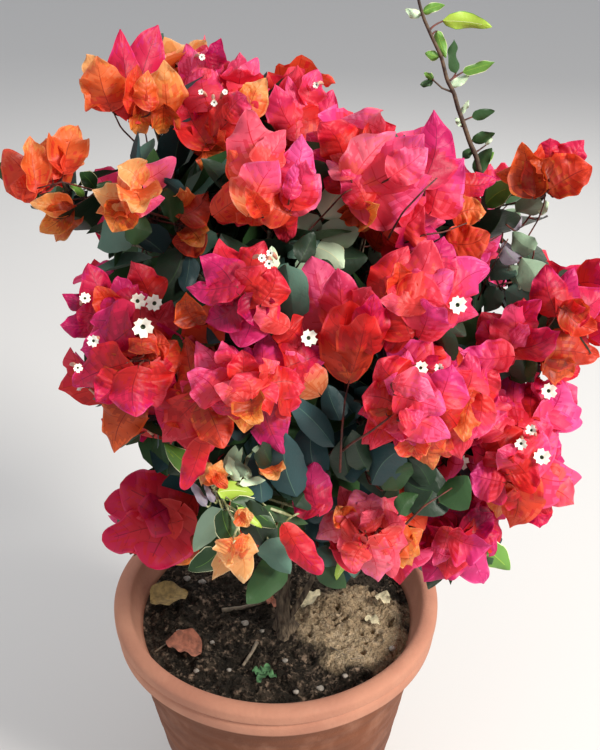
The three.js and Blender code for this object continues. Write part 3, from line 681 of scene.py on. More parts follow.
# Each row: the kind of bract, where its base and its point show in the picture (u across and v
# down, in pixels), how wide it shows there, and, where they aren't 0 and -1, the degrees that it
# is turned away and 1 for a hollow side that faces the camera. Rows run from the back forward.
shown_bracts = {
    "top_left": [
        ("amber", 112, 105, 86, 54, 30, -20), ("orange", 108, 106, 79, 78, 24, 30),
        ("crimson", 130, 112, 120, 29, 34, 20), ("orange", 110, 107, 97, 56, 44),
        ("crimson", 130, 113, 158, 25, 50, -10), ("flame", 132, 110, 137, 64, 20, 20, 1),
        ("rusty", 142, 104, 137, 135, 22, 0, 1), ("orange", 172, 116, 190, 82, 30, 30),
        ("amber", 168, 118, 164, 60, 42), ("rusty", 163, 106, 160, 134, 28, 0, 1),
        ("orange", 150, 108, 148, 70, 24, 10),
    ],
    "top": [
        ("pink", 205, 100, 186, 44, 34), ("pink", 236, 98, 258, 58, 30, 10), ("rose", 240, 96, 240, 52, 26),
        ("rose", 300, 138, 275, 84, 36, 20), ("pink", 296, 136, 288, 76, 28),
        ("rose", 305, 136, 333, 90, 38, -10), ("red", 298, 139, 297, 65, 48),
        ("pink", 308, 104, 318, 69, 26, 10, 1), ("pale", 312, 100, 304, 76, 16, 20),
        ("red", 206, 122, 180, 80, 38), ("pink", 208, 106, 206, 47, 40, -10),
        ("deep", 214, 66, 221, 38, 20, 0, 1), ("pale", 206, 76, 194, 50, 18, 10),
        ("amber", 250, 114, 266, 78, 30), ("rusty", 250, 112, 244, 84, 22, 20),
        ("red", 216, 134, 258, 102, 44), ("rose", 226, 116, 246, 96, 28, -20),
        ("red", 208, 146, 184, 100, 46, 0, 1), ("flame", 196, 150, 226, 130, 34),
        ("rusty", 206, 146, 214, 168, 30, 0, 1),
    ],
    "left_wing": [
        ("flame", 36, 190, 10, 186, 26), ("flame", 36, 188, 3, 150, 44),
        ("orange", 36, 188, 30, 136, 24, 30, 1), ("orange", 52, 176, 46, 138, 26),
        ("orange", 66, 170, 86, 144, 34, 30), ("orange", 64, 170, 78, 125, 38, 0, 1),
        ("amber", 70, 206, 30, 203, 22, 20, 1), ("orange", 72, 208, 56, 242, 24, -20),
        ("rusty", 70, 207, 40, 232, 26, 0, 1),
    ],
    "left_shoulder": [
        ("rusty", 188, 228, 202, 247, 28, 0, 1), ("ember", 204, 234, 172, 242, 30),
        ("orange", 186, 214, 180, 188, 28, 20), ("ember", 182, 216, 208, 192, 34),
        ("orange", 134, 208, 96, 213, 26, 0, 1), ("rusty", 130, 208, 112, 232, 34, 0, 1),
        ("sunset", 124, 186, 176, 158, 34, 10), ("gold", 140, 184, 117, 166, 30, 0, 1),
        ("gold", 132, 194, 92, 190, 36), ("sunset", 124, 192, 165, 198, 36, 10),
        ("amber", 134, 190, 134, 213, 40, 0, 1),
    ],
    "upper_middle": [
        ("red", 278, 212, 286, 245, 30), ("flame", 240, 206, 265, 224, 26, 0, 1),
        ("red", 344, 162, 320, 122, 40), ("rose", 344, 164, 350, 130, 26, 20),
        ("crimson", 346, 190, 332, 160, 26), ("orchid", 292, 178, 302, 134, 34),
        ("flame", 258, 194, 228, 150, 46), ("blush", 268, 168, 246, 109, 56),
        ("blush", 262, 168, 286, 130, 30, 20), ("pale", 288, 206, 320, 174, 36, 10),
        ("flame", 216, 214, 256, 190, 36), ("flame", 288, 214, 252, 196, 34),
        ("rose", 292, 206, 306, 160, 36), ("orchid", 290, 196, 298, 160, 20),
        ("sunset", 250, 212, 278, 160, 48), ("flame", 262, 214, 246, 188, 20, 0, 1),
    ],
    "upper_right": [
        ("red", 366, 140, 396, 126, 26, 20), ("flame", 356, 160, 316, 162, 30),
        ("red", 360, 152, 314, 132, 44), ("pale", 380, 130, 339, 120, 30, 10),
        ("rose", 350, 160, 358, 138, 20, 20, 1), ("orange", 455, 216, 486, 212, 32),
        ("flame", 448, 242, 490, 234, 40), ("crimson", 464, 184, 496, 180, 24),
        ("flame", 376, 246, 404, 210, 40), ("fuchsia", 432, 210, 464, 158, 52, 10),
        ("magenta", 424, 182, 434, 110, 46), ("rose", 392, 232, 446, 222, 46),
        ("fuchsia", 398, 206, 464, 200, 54), ("coral", 386, 230, 424, 206, 46),
        ("rusty", 348, 214, 380, 204, 26, 0, 1), ("rusty", 352, 210, 366, 232, 34),
        ("pink", 352, 196, 432, 176, 60), ("pink", 362, 186, 424, 134, 58, -10),
        ("faint", 352, 180, 396, 132, 40, 15), ("pale", 392, 176, 428, 148, 34, 20),
        ("rose", 366, 204, 342, 170, 34), ("faint", 350, 178, 327, 160, 16, 30),
    ],
    "right_wing": [
        ("crimson", 550, 162, 550, 138, 26), ("crimson", 564, 166, 584, 140, 34),
        ("umber", 524, 180, 496, 174, 22), ("umber", 532, 194, 522, 142, 36, 0, 1),
        ("ember", 534, 192, 541, 144, 24, 20), ("umber", 556, 194, 564, 158, 34),
        ("ember", 552, 188, 592, 166, 44, 0, 1), ("umber", 548, 176, 530, 160, 20, 20, 1),
    ],
    "right_edge": [
        ("ember", 552, 350, 600, 357, 40), ("umber", 545, 362, 574, 374, 28, 10, 1),
        ("magenta", 558, 312, 574, 268, 30, -20), ("crimson", 556, 312, 546, 264, 36, 10),
        ("crimson", 560, 312, 606, 292, 46), ("red", 562, 308, 590, 318, 30, 10, 1),
        ("ember", 564, 310, 598, 330, 34, 0, 1), ("red", 512, 340, 524, 298, 32),
        ("crimson", 508, 350, 560, 331, 34), ("crimson", 506, 346, 541, 300, 34, 10),
        ("red", 502, 356, 482, 312, 46), ("rose", 506, 352, 512, 304, 42),
        ("pink", 508, 358, 528, 324, 22, 20), ("red", 500, 352, 508, 372, 30, 0, 1),
    ],
    "left_side": [
        ("tawny", 134, 404, 114, 453, 44), ("deep", 92, 306, 62, 294, 18),
        ("magenta", 96, 322, 60, 325, 26), ("crimson", 106, 322, 76, 312, 36),
        ("crimson", 110, 312, 88, 263, 34), ("flame", 112, 318, 96, 286, 28, 0, 1),
        ("red", 152, 302, 131, 261, 36), ("magenta", 124, 320, 118, 276, 44),
        ("crimson", 128, 314, 138, 284, 30, 15), ("red", 142, 356, 172, 300, 50),
        ("red", 138, 350, 140, 298, 56), ("ember", 190, 400, 168, 426, 46),
        ("ember", 150, 346, 172, 378, 46), ("ember", 146, 350, 170, 344, 40),
        ("ember", 128, 364, 104, 392, 40), ("crimson", 124, 364, 72, 385, 46),
        ("crimson", 118, 376, 96, 402, 36), ("red", 150, 366, 156, 408, 44),
        ("crimson", 138, 370, 136, 417, 46), ("ember", 144, 352, 148, 330, 30),
        ("magenta", 128, 330, 80, 350, 54),
    ],
    "middle_left": [
        ("umber", 196, 322, 186, 292, 30, 0, 1), ("red", 250, 276, 219, 239, 40, 10),
        ("red", 250, 278, 264, 241, 38, -10), ("crimson", 244, 302, 210, 268, 40),
        ("deep", 240, 300, 205, 322, 36), ("magenta", 246, 290, 240, 347, 56),
        ("deep", 246, 296, 254, 326, 34, 0, 1), ("magenta", 236, 292, 200, 256, 42),
        ("magenta", 232, 286, 186, 287, 26, 20), ("red", 262, 300, 236, 270, 46),
        ("red", 262, 302, 276, 268, 36), ("salmon", 286, 326, 256, 306, 26),
        ("red", 288, 330, 300, 346, 34),
    ],
    "heart": [
        ("magenta", 262, 398, 284, 455, 48), ("rusty", 250, 396, 244, 433, 36, 0, 1),
        ("cherry", 202, 440, 184, 490, 24), ("red", 196, 398, 200, 458, 60),
        ("red", 196, 402, 162, 442, 44), ("ember", 206, 404, 224, 448, 40),
        ("ember", 196, 390, 186, 336, 40), ("crimson", 288, 366, 326, 352, 46),
        ("red", 280, 396, 302, 386, 40), ("fuchsia", 266, 378, 267, 331, 40),
        ("red", 242, 384, 242, 350, 32, 0, 1), ("pink", 232, 362, 224, 342, 28, 20),
        ("red", 270, 384, 306, 388, 34), ("sunset", 318, 392, 286, 350, 40),
        ("pink", 224, 392, 196, 342, 50), ("pink", 218, 396, 188, 372, 44, 10),
        ("crimson", 236, 398, 208, 404, 34), ("coral", 250, 402, 236, 374, 50),
        ("salmon", 248, 404, 214, 386, 26), ("coral", 256, 404, 276, 384, 36),
        ("rusty", 252, 402, 260, 424, 32, 0, 1), ("salmon", 262, 372, 280, 362, 18, 30),
    ],
    "middle": [
        ("red", 388, 300, 408, 246, 44), ("flame", 392, 292, 398, 262, 30, 10, 1),
        ("coral", 396, 300, 432, 240, 56), ("magenta", 440, 276, 444, 236, 36, 10),
        ("fuchsia", 448, 296, 490, 268, 46), ("rose", 446, 300, 478, 314, 44),
        ("pink", 394, 294, 454, 272, 64), ("coral", 400, 300, 446, 306, 50),
        ("red", 410, 336, 396, 300, 50), ("fuchsia", 420, 336, 428, 300, 44),
        ("salmon", 424, 306, 380, 300, 24), ("pink", 338, 336, 312, 256, 54),
        ("rose", 344, 330, 338, 268, 50), ("coral", 340, 332, 371, 287, 52),
        ("red", 352, 346, 332, 332, 34), ("crimson", 372, 350, 374, 294, 36, 10),
        ("red", 338, 372, 346, 318, 34, 20), ("toasted", 350, 377, 366, 312, 40, 10),
        ("toasted", 348, 377, 350, 300, 46),
    ],
    "centre_low": [
        ("red", 420, 364, 400, 336, 56), ("fuchsia", 420, 368, 384, 338, 48),
        ("magenta", 420, 364, 416, 318, 50), ("pink", 428, 374, 446, 334, 38),
        ("red", 478, 414, 452, 372, 40), ("red", 474, 396, 498, 370, 44),
        ("fuchsia", 510, 356, 460, 352, 34), ("crimson", 462, 410, 484, 366, 38),
        ("rose", 462, 398, 470, 352, 40), ("red", 446, 412, 462, 460, 48),
        ("orange", 430, 436, 432, 470, 36), ("flame", 432, 436, 452, 456, 34),
        ("orange", 420, 432, 402, 456, 32), ("flame", 416, 434, 420, 460, 30, 20, 1),
        ("red", 394, 412, 370, 450, 36), ("red", 398, 412, 362, 444, 40), ("rose", 398, 416, 402, 442, 34),
        ("red", 396, 404, 362, 396, 52), ("ember", 386, 412, 378, 382, 36), ("red", 402, 386, 378, 360, 44),
        ("pink", 402, 388, 408, 350, 32), ("pink", 424, 398, 384, 380, 44),
        ("fuchsia", 440, 402, 452, 364, 46), ("pink", 408, 418, 450, 438, 40),
        ("pink", 398, 396, 446, 410, 48), ("orange", 472, 394, 464, 442, 30),
        ("rose", 482, 398, 470, 440, 30, 10), ("pale", 396, 384, 436, 398, 30, 10),
        ("pink", 402, 420, 424, 412, 22),
    ],
    "lower_right": [
        ("crimson", 538, 500, 540, 528, 30), ("salmon", 534, 486, 574, 504, 44),
        ("pink", 524, 468, 582, 478, 54), ("orchid", 540, 420, 562, 380, 50),
        ("orchid", 536, 424, 582, 424, 40), ("crimson", 532, 414, 540, 376, 36),
        ("pink", 512, 424, 548, 404, 54), ("fuchsia", 518, 420, 520, 368, 42),
        ("rose", 500, 424, 490, 388, 44), ("pink", 504, 446, 558, 436, 56),
        ("fuchsia", 524, 446, 548, 462, 34), ("pink", 506, 434, 492, 412, 40),
        ("red", 502, 456, 480, 428, 46), ("red", 504, 480, 486, 452, 42), ("flame", 516, 478, 510, 528, 48),
        ("orange", 506, 486, 496, 518, 30), ("red", 520, 486, 532, 512, 34),
        ("red", 510, 474, 538, 462, 40, 0, 1), ("fuchsia", 502, 482, 470, 474, 42),
        ("rose", 526, 474, 498, 450, 42),
    ],
    "bottom_right": [
        ("deep", 474, 540, 452, 496, 50), ("crimson", 478, 540, 498, 500, 46),
        ("deep", 464, 536, 494, 514, 28, 0, 1), ("crimson", 470, 530, 500, 534, 34),
        ("magenta", 452, 536, 409, 554, 50), ("magenta", 450, 538, 424, 582, 56),
        ("fuchsia", 462, 540, 484, 584, 54), ("red", 456, 540, 446, 580, 40),
        ("fuchsia", 452, 536, 492, 546, 34, 20, 1), ("pink", 448, 530, 434, 566, 22, 20),
    ],
    "bottom_middle": [
        ("orange", 396, 536, 422, 534, 36), ("rusty", 392, 548, 412, 566, 34),
        ("blush", 358, 516, 340, 486, 30), ("orange", 352, 520, 336, 506, 24, 10, 1),
        ("blush", 378, 526, 404, 496, 44), ("blush", 382, 532, 406, 524, 34),
        ("faint", 346, 530, 316, 538, 30), ("faint", 366, 524, 354, 490, 40),
        ("faint", 372, 524, 376, 492, 26), ("salmon", 358, 534, 338, 552, 40),
        # The narrow crimson bract in this row is painted shade: a dark bract put where the spray has only
        # shadow.
        ("blush", 374, 530, 362, 512, 26), ("crimson", 366, 534, 368, 550, 12, 0, 1),
        ("blush", 382, 534, 394, 564, 38), ("salmon", 362, 546, 352, 572, 30),
        ("faint", 368, 542, 378, 582, 42), ("blush", 376, 540, 394, 578, 30),
    ],
    "bottom_left": [
        ("crimson", 198, 514, 186, 546, 34), ("cherry", 186, 514, 104, 503, 40),
        ("cherry", 190, 514, 120, 484, 58), ("rusty", 192, 538, 158, 560, 40),
        ("cherry", 176, 522, 102, 541, 42), ("cherry", 180, 508, 148, 567, 62),
        ("magenta", 150, 518, 200, 500, 46),
    ],
    "young_shoots": [
        ("gold", 212, 482, 202, 458, 20), ("amber", 212, 482, 222, 460, 20, 10, 1),
        ("orange", 216, 484, 226, 474, 18), ("gold", 270, 468, 258, 454, 20),
        ("gold", 272, 466, 290, 458, 16), ("amber", 270, 468, 276, 480, 24, 0, 1),
        ("gold", 236, 518, 254, 516, 16), ("amber", 240, 516, 250, 526, 14, 0, 1),
        ("gold", 240, 546, 212, 580, 26), ("gold", 234, 542, 244, 584, 36),
        ("amber", 236, 544, 252, 548, 18), ("gold", 232, 544, 218, 556, 26, 0, 1),
        ("magenta", 318, 512, 314, 462, 36), ("magenta", 318, 510, 296, 488, 30),
        ("cherry", 286, 528, 322, 574, 26),
    ],
}
# The leaves that show, in rows like the bracts' own
shown_leaves = {
    "top": [("dark", 214, 232, 262, 226, 30), ("dark", 250, 222, 236, 246, 26)],
    "left_wing": [
        ("edged", 96, 190, 80, 172, 16), ("fresh", 84, 196, 70, 184, 9), ("dark", 96, 192, 112, 182, 12),
    ],
    "left_shoulder": [
        ("shade", 184, 250, 150, 304, 44), ("shade", 200, 260, 162, 262, 40),
        ("dark", 174, 222, 168, 188, 24), ("slate", 184, 192, 164, 178, 14),
        ("blue", 124, 226, 97, 248, 40), ("dark", 126, 224, 152, 232, 34), ("blue", 216, 234, 186, 254, 24),
        ("slate", 190, 256, 184, 292, 22),
    ],
    "upper_middle": [
        ("grey", 318, 216, 290, 250, 28), ("blue", 316, 232, 288, 258, 28),
        ("mint", 324, 218, 346, 186, 32), ("shade", 322, 262, 368, 258, 36),
        ("grey", 320, 236, 360, 230, 32), ("mint", 314, 246, 344, 268, 30),
        ("grey", 300, 256, 318, 280, 24),
    ],
    "upper_right": [("grey", 372, 264, 384, 236, 22), ("dark", 384, 262, 396, 240, 20)],
    "right_wing": [
        ("fresh", 484, 206, 514, 186, 24), ("grey", 516, 212, 540, 198, 22),
        ("grey", 520, 224, 500, 212, 16), ("dark", 476, 174, 492, 148, 16),
        ("blue", 486, 190, 504, 196, 18), ("mint", 540, 216, 546, 200, 8),
    ],
    "right_edge": [
        ("grey", 534, 250, 512, 232, 24), ("mauve", 518, 262, 504, 242, 22),
        ("mauve", 506, 226, 522, 216, 16), ("grey", 522, 258, 540, 292, 34),
        ("grey", 510, 266, 520, 290, 16), ("blue", 506, 290, 540, 302, 28),
        ("blue", 492, 260, 516, 276, 26), ("blue", 496, 288, 484, 312, 22),
        ("shade", 540, 340, 556, 362, 24), ("shade", 520, 352, 534, 382, 30),
        ("dark", 512, 380, 536, 362, 24),
    ],
    "middle_left": [
        ("blue", 286, 266, 295, 336, 34, 20), ("shade", 300, 262, 314, 232, 24),
        ("mint", 272, 268, 258, 250, 11), ("mint", 274, 268, 272, 246, 12, 20),
        ("mint", 272, 270, 280, 256, 9), ("mint", 272, 274, 266, 290, 8),
    ],
    "middle": [
        ("slate", 332, 372, 322, 314, 36), ("shade", 438, 330, 448, 368, 28),
        ("slate", 340, 420, 326, 384, 26), ("shade", 446, 312, 466, 336, 28),
    ],
    "centre_low": [
        ("shade", 352, 482, 346, 436, 32), ("shade", 368, 470, 352, 430, 26),
        ("shade", 430, 486, 408, 458, 26), ("slate", 372, 484, 404, 448, 40),
        ("dark", 384, 490, 412, 464, 32), ("shade", 416, 514, 436, 468, 44),
        ("dark", 440, 502, 468, 476, 34), ("dark", 400, 514, 418, 494, 22),
        ("shade", 404, 480, 440, 490, 36), ("slate", 344, 462, 366, 470, 24),
    ],
    "heart": [
        ("slate", 296, 496, 284, 432, 42), ("slate", 318, 480, 314, 418, 40),
        ("slate", 334, 446, 286, 398, 26, 20), ("shade", 296, 506, 330, 470, 36),
        ("shade", 278, 470, 262, 442, 24),
    ],
    "bottom_middle": [
        ("slate", 308, 520, 342, 500, 30), ("slate", 304, 510, 334, 540, 32),
        ("blue", 318, 548, 336, 566, 20), ("lime", 346, 556, 336, 580, 11),
        ("dark", 322, 566, 346, 588, 26),
    ],
    "bottom_right": [("fresh", 486, 548, 510, 570, 28), ("dark", 466, 536, 492, 564, 38)],
    "young_shoots": [
        ("shade", 196, 452, 168, 474, 26), ("slate", 262, 502, 254, 452, 30),
        ("shade", 268, 548, 250, 500, 36), ("dark", 282, 560, 247, 604, 34),
        ("blue", 268, 540, 290, 574, 32), ("dark", 262, 508, 308, 524, 14),
        ("fresh", 204, 474, 164, 443, 22, 20), ("lime", 202, 478, 166, 448, 12),
        ("grey", 222, 510, 194, 552, 26), ("edged", 218, 552, 188, 570, 26),
        ("mint", 230, 474, 242, 442, 18), ("mint", 246, 478, 262, 444, 20, 10),
        ("mint", 240, 480, 228, 456, 14), ("lime", 218, 492, 254, 494, 20),
        ("edged", 222, 510, 238, 546, 26), ("edged", 232, 502, 276, 528, 26),
        ("mint", 240, 484, 266, 480, 9), ("mauve", 206, 506, 190, 482, 10), ("mint", 262, 452, 252, 450, 9),
        ("mint", 212, 486, 214, 474, 9), ("grey", 232, 462, 246, 476, 14), ("mauve", 214, 502, 204, 484, 8),
        ("lime", 238, 508, 262, 528, 10),
    ],
    "tall_shoot": [
        ("fresh", 478, 168, 494, 152, 13), ("dark", 472, 141, 495, 133, 12),
        ("mint", 486, 145, 492, 133, 6), ("dark", 472, 117, 495, 111, 11), ("mint", 462, 114, 469, 100, 6),
        ("mint", 450, 86, 470, 75, 9), ("fresh", 463, 72, 495, 62, 12), ("dark", 456, 73, 454, 39, 13, 30),
        ("fresh", 439, 57, 425, 53, 10), ("fresh", 437, 31, 446, 58, 11, 20),
        ("lime", 443, 21, 492, 27, 17, 20), ("dark", 433, 80, 420, 85, 8), ("fresh", 433, 80, 424, 73, 7),
        ("fresh", 423, 12, 445, 5, 10), ("mint", 421, 15, 405, 9, 9), ("lime", 418, -4, 434, -13, 11),
        ("fresh", 416, -14, 402, -23, 10), ("fresh", 413, -27, 420, -40, 9),
        ("mint", 461, 126, 455, 118, 6), ("dark", 474, 150, 462, 160, 9),
    ],
}
# The open flowers that show: each one's middle in the picture, and how wide it shows
shown_stars = {
    "top": [(202, 57, 7), (201, 92, 6), (214, 103, 7), (225, 92, 6), (316, 85, 7)],
    "left_side": [
        (138, 301, 17), (154, 303, 18), (143, 327.5, 22), (85, 298, 12), (93, 341, 13), (78, 368, 10),
    ],
    "middle_left": [(262, 258, 9), (270, 253, 8), (269, 264, 10)],
    "heart": [(309, 338, 18)],
    "middle": [(458, 305, 19), (439, 368, 10)],
    "centre_low": [(421, 368, 15), (405, 415, 12)],
    "lower_right": [(549, 391, 17), (531, 430, 12), (521, 444, 13), (542, 457, 18)],
}
# Dark stalks that show: the row number of the bract that each runs up to, and its places in the
# picture from the inside out
shown_stems = {
    "top_left": [
        (2, [(147, 154), (121, 128), (110, 105)]), (2, [(156, 172), (149, 154), (145, 130)]),
        (7, [(156, 152), (170, 134), (184, 116)]),
    ],
    "left_wing": [(2, [(150, 184), (94, 190), (62, 182), (38, 188)]), (6, [(98, 190), (86, 200), (72, 207)])],
    "top": [(17, [(191, 184), (204, 166), (208, 150)])],
    "upper_right": [
        (22, [(284, 252), (300, 240), (317, 222), (344, 193), (352, 189)]),
        (24, [(383, 250), (392, 231), (403, 212), (423, 191), (437, 178)]),
        (24, [(388, 256), (404, 243), (423, 235), (444, 232), (467, 223)]),
        (2, [(352, 284), (366, 272), (384, 267)]),
    ],
    "middle": [(16, [(340, 472), (342, 430), (345, 400), (350, 378)])],
    "centre_low": [
        (15, [(340, 453), (352, 443), (370, 432), (386, 420), (396, 412)]),
        (0, [(406, 524), (424, 506), (452, 488)]),
    ],
    "right_wing": [(0, [(506, 286), (514, 262), (526, 240), (538, 220), (544, 204), (545, 195)])],
    "right_edge": [
        (0, [(478, 300), (486, 280), (497, 258), (508, 239)]), (0, [(516, 232), (508, 226), (500, 220)]),
    ],
}
# The tall shoot's depth before the camera, at a row of the picture, and how it grows with each row
shoot_depth = {"place": 70, "depth": 606, "fall": 0.3}
# The masses whose blooms hang in front of the others', and how far
forward = {"young_shoots": 40, "bottom_middle": 14}
# The crown's outline in the picture. What grows by rule keeps inside it.
crown_outline = [
    (-30, 146), (0, 146), (26, 132), (48, 126), (82, 122), (92, 146), (94, 166), (112, 168), (128, 158),
    (142, 148), (126, 122), (104, 112), (78, 82), (80, 54), (108, 48), (114, 26), (162, 22), (172, 44),
    (216, 36), (236, 40), (262, 52), (272, 76), (298, 62), (336, 86), (334, 106), (350, 110), (380, 114),
    (398, 128), (416, 126), (434, 118), (446, 146), (472, 168), (496, 174), (508, 152), (522, 144),
    (556, 142), (590, 142), (598, 168), (582, 196), (556, 200), (546, 232), (544, 262), (572, 262),
    (606, 262), (650, 262), (650, 362), (606, 368), (584, 388), (586, 420), (572, 440), (584, 480),
    (576, 508), (548, 532), (526, 540), (514, 574), (486, 588), (424, 588), (404, 566), (382, 586),
    (340, 592), (330, 576), (300, 580), (248, 606), (212, 590), (186, 572), (146, 570), (100, 544),
    (98, 506), (118, 480), (152, 484), (160, 462), (140, 456), (110, 456), (92, 440), (92, 404), (70, 388),
    (66, 360), (56, 326), (58, 292), (84, 260), (98, 248), (86, 222), (70, 246), (40, 244), (24, 204),
    (0, 190), (-30, 190),
]
# Where each part that shows covers the picture: u, v, depth, half width and whether it is a bract
covered = []


def turned_to(along, place, turn, side):
    """The way that a blade's hollow side looks, for one turned so far from the camera"""
    toward = eye - place
    toward = unit(toward - along * (along @ toward))
    swung = math.radians(turn)
    return side * (toward * math.cos(swung) + np.cross(along, toward) * math.sin(swung))


def cover(u, v, depth, width, is_bract):
    covered.append((u, v, depth, 0.5 * width, is_bract))


def picture_of(point):
    """Where a point shows in the picture, and how far ahead of the camera it is"""
    depth = (point - eye) @ ahead
    u = picture_middle[0] + focal_pixels * ((point - eye) @ sideways) / depth
    return u, picture_middle[1] - focal_pixels * ((point - eye) @ above) / depth, depth


def hides_shown(point, room=6):
    """True if something at a point would stand in front of a bloom that shows"""
    u, v, depth = picture_of(point)
    places = covered_places
    near = np.hypot(places[:, 0] - u, places[:, 1] - v) < places[:, 3] + room
    return bool((near & (places[:, 2] > depth - 12)).any())


def is_behind_shown(point):
    """True if a bract that shows stands before a point"""
    u, v, depth = picture_of(point)
    places = covered_places[covered_places[:, 4] > 0]
    near = np.hypot(places[:, 0] - u, places[:, 1] - v) < places[:, 3] + 3
    return not 0 < u < 2 * picture_middle[0] or bool((near & (places[:, 2] < depth)).any())


def fits(root, along, facing, length, half_width):
    """True if a blade keeps to the crown's outline"""
    aside = unit(np.cross(along, facing)) * (half_width + 4)
    places = [root + along * (length + 4)]
    for share, width in ((0.15, 0.7), (0.45, 1), (0.75, 0.7)):
        middle = root + along * share * length
        places.extend((middle + aside * width, middle - aside * width))
    return all(in_outline(place) for place in places)


def in_outline(point):
    """True if a point shows inside the crown's outline"""
    u, v, _ = picture_of(point)
    crossings = 0
    for (u1, v1), (u2, v2) in zip(crown_outline, crown_outline[1:] + crown_outline[:1]):
        if (v1 > v) != (v2 > v) and u < u1 + (u2 - u1) * (v - v1) / (v2 - v1):
            crossings += 1
    return crossings % 2 == 1


shown_parts = []
by_name = {mass.name: mass for mass in crown}
for kind_of_part, table in (("bract", shown_bracts), ("leaf", shown_leaves)):
    for mass_name, rows in table.items():
        mass = by_name[mass_name]
        for order, (sort, base_u, base_v, tip_u, tip_v, width, *rest) in enumerate(rows):
            turn, side = (*rest, *(0, -1)[len(rest):])
            lift = forward.get(mass_name, 0) + (layer * order if kind_of_part == "bract" else -6)
            tilt = 5 * math.sin(2.4 * order + mass.number) + (5 if side > 0 else 0)
            base = seen_place(mass, base_u, base_v, lift)
            tip = seen_place(mass, tip_u, tip_v, lift + 1 + tilt * min(1, width / 24))
            depth = (base - eye) @ ahead
            facing = turned_to(unit(tip - base), base, turn + 16 * math.sin(1.9 * order), side)
            wide = width * depth / focal_pixels / math.cos(math.radians(turn))
            shown_parts.append((kind_of_part, mass_name, sort, base, tip, facing, wide, side))
            for share, broad in ((0.15, 0.8), (0.5, 1), (0.85, 0.55)):
                u, v = base_u + (tip_u - base_u) * share, base_v + (tip_v - base_v) * share
                cover(u, v, depth, width * broad, kind_of_part == "bract")
covered_places = np.array(covered)
# Behind the bracts that show stand more of each spray, in darker sorts as painted shade, which close the gaps
# between them
behind_shaded_sorts = {
    "pale": "rose", "pink": "crimson", "salmon": "red", "coral": "red", "rose": "crimson", "red": "crimson",
    "fuchsia": "magenta", "orchid": "fuchsia", "flame": "red", "magenta": "magenta", "blush": "red",
}
for kind_of_part, mass_name, sort, base, shown_tip, facing, wide, side in list(shown_parts):
    if kind_of_part == "bract" and sort in behind_shaded_sorts and wide > 18:
        way = (shown_tip - base) * 0.8
        toward = unit(eye - base)
        for swing in (-0.66, 0.66):
            turned = way * math.cos(swing) + np.cross(toward, way) * math.sin(swing)
            place = base + ahead * 6
            tip = place + turned + ahead * 4
            aside = unit(np.cross(turned, toward)) * 0.42 * wide
            middle = place + 0.45 * turned
            far_end = place + 1.1 * turned
            corners = (far_end, middle + aside, middle - aside)
            if all(is_behind_shown(point) and in_outline(point) for point in corners):
                part = ("backing", mass_name, behind_shaded_sorts[sort], place, tip, facing, 0.8 * wide, side)
                shown_parts.append(part)

# Twigs
# Each mass fans out from one stem that runs on from its bough: twigs by the solids' rule, thin
# dark flower stalks on them, and leaf stalks. Where bracts and leaves go is settled here.
golden_turn = math.pi * (3 - math.sqrt(5))
golden_share = 0.618034
fan_width = 1.1
twig_area = 210
lowest_leaf = pot_height + 6
leaf_room = (42, 12)
core_twigs = 90
core_middle = np.array((8.0, 10.0, 455.0))
core_reach = np.array((75.0, 55.0, 105.0))
twig_shape = Shape()
stalk_shape = Shape()
young_shape = Shape()
bract_places = []
leaf_places = []
flower_places = []


def bent(start, end, bow, count=6):
    """Points from start to end that sag or bow by a vector in the middle"""
    t = np.linspace(0, 1, count)[:, None]
    return start + (end - start) * t + bow * 4 * t * (1 - t)


def square_to(axis, turn):
    """A direction at a turn about an axis, and square to it"""
    aside = up if abs(axis[2]) < 0.9 else np.array((1.0, 0.0, 0.0))
    u = unit(np.cross(aside, axis))
    return u * math.cos(turn) + np.cross(axis, u) * math.sin(turn)


def belongs(mass, point, slack):
    """True if a point is in the mass's own room, or no more than slack outside it"""
    if point[2] < lowest_leaf or np.linalg.norm(point - mass.centre) > mass.reach * 1.12:
        return False
    for other in crown:
        if other is mass:
            continue
        apart = np.linalg.norm(other.centre - mass.centre)
        own = ((point - mass.centre) ** 2).sum() - mass.reach ** 2
        theirs = ((point - other.centre) ** 2).sum() - other.reach ** 2
        if (theirs - own) / (2 * apart) < -slack:
            return False
    return True


def add_leaf(random, root, along, facing, size):
    leaf_places.append((root, along, facing, size, next(random)))


def add_lone_leaf(random, start, root, axis, along, sag, thick):
    """A leaf straight on the wood, if it keeps to the outline and hides nothing that shows"""
    facing = unit(0.6 * axis + 0.5 * up)
    if fits(root, along, facing, *leaf_room) and not hides_shown(root + along * 14):
        tube(stalk_shape, bent(start, root, -up * sag, 3), [thick, thick - 0.1, 0.45], 4)
        add_leaf(random, root, along, facing, 0.85 + 0.4 * next(random))


def add_trio(random, node, axis, size, sort):
    """Three bracts round a flower stalk, each with a flower or a bud on its rib"""
    roll = next(random) * 2 * math.pi
    tube(stalk_shape, bent(node - axis * 6, node, up, 3), [0.6, 0.6, 0.8], 5)
    for k in range(3):
        away = square_to(axis, roll + k * 2 * math.pi / 3 + 0.3 * (next(random) - 0.5))
        opened = 0.5 + 0.55 * next(random)
        along = unit(axis * math.cos(opened) + away * math.sin(opened))
        if not fits(node, along, axis, 33 * size, 12 * size) or not is_behind_shown(node + along * 24 * size):
            continue
        grown = size * (0.85 + 0.3 * next(random))
        bract_places.append((node + away, along, axis, grown, sort, next(random)))
        bud_tip = node + (axis * 0.9 + away * 0.32) * 13 * size
        flower_places.append((node + away, bud_tip, next(random)))


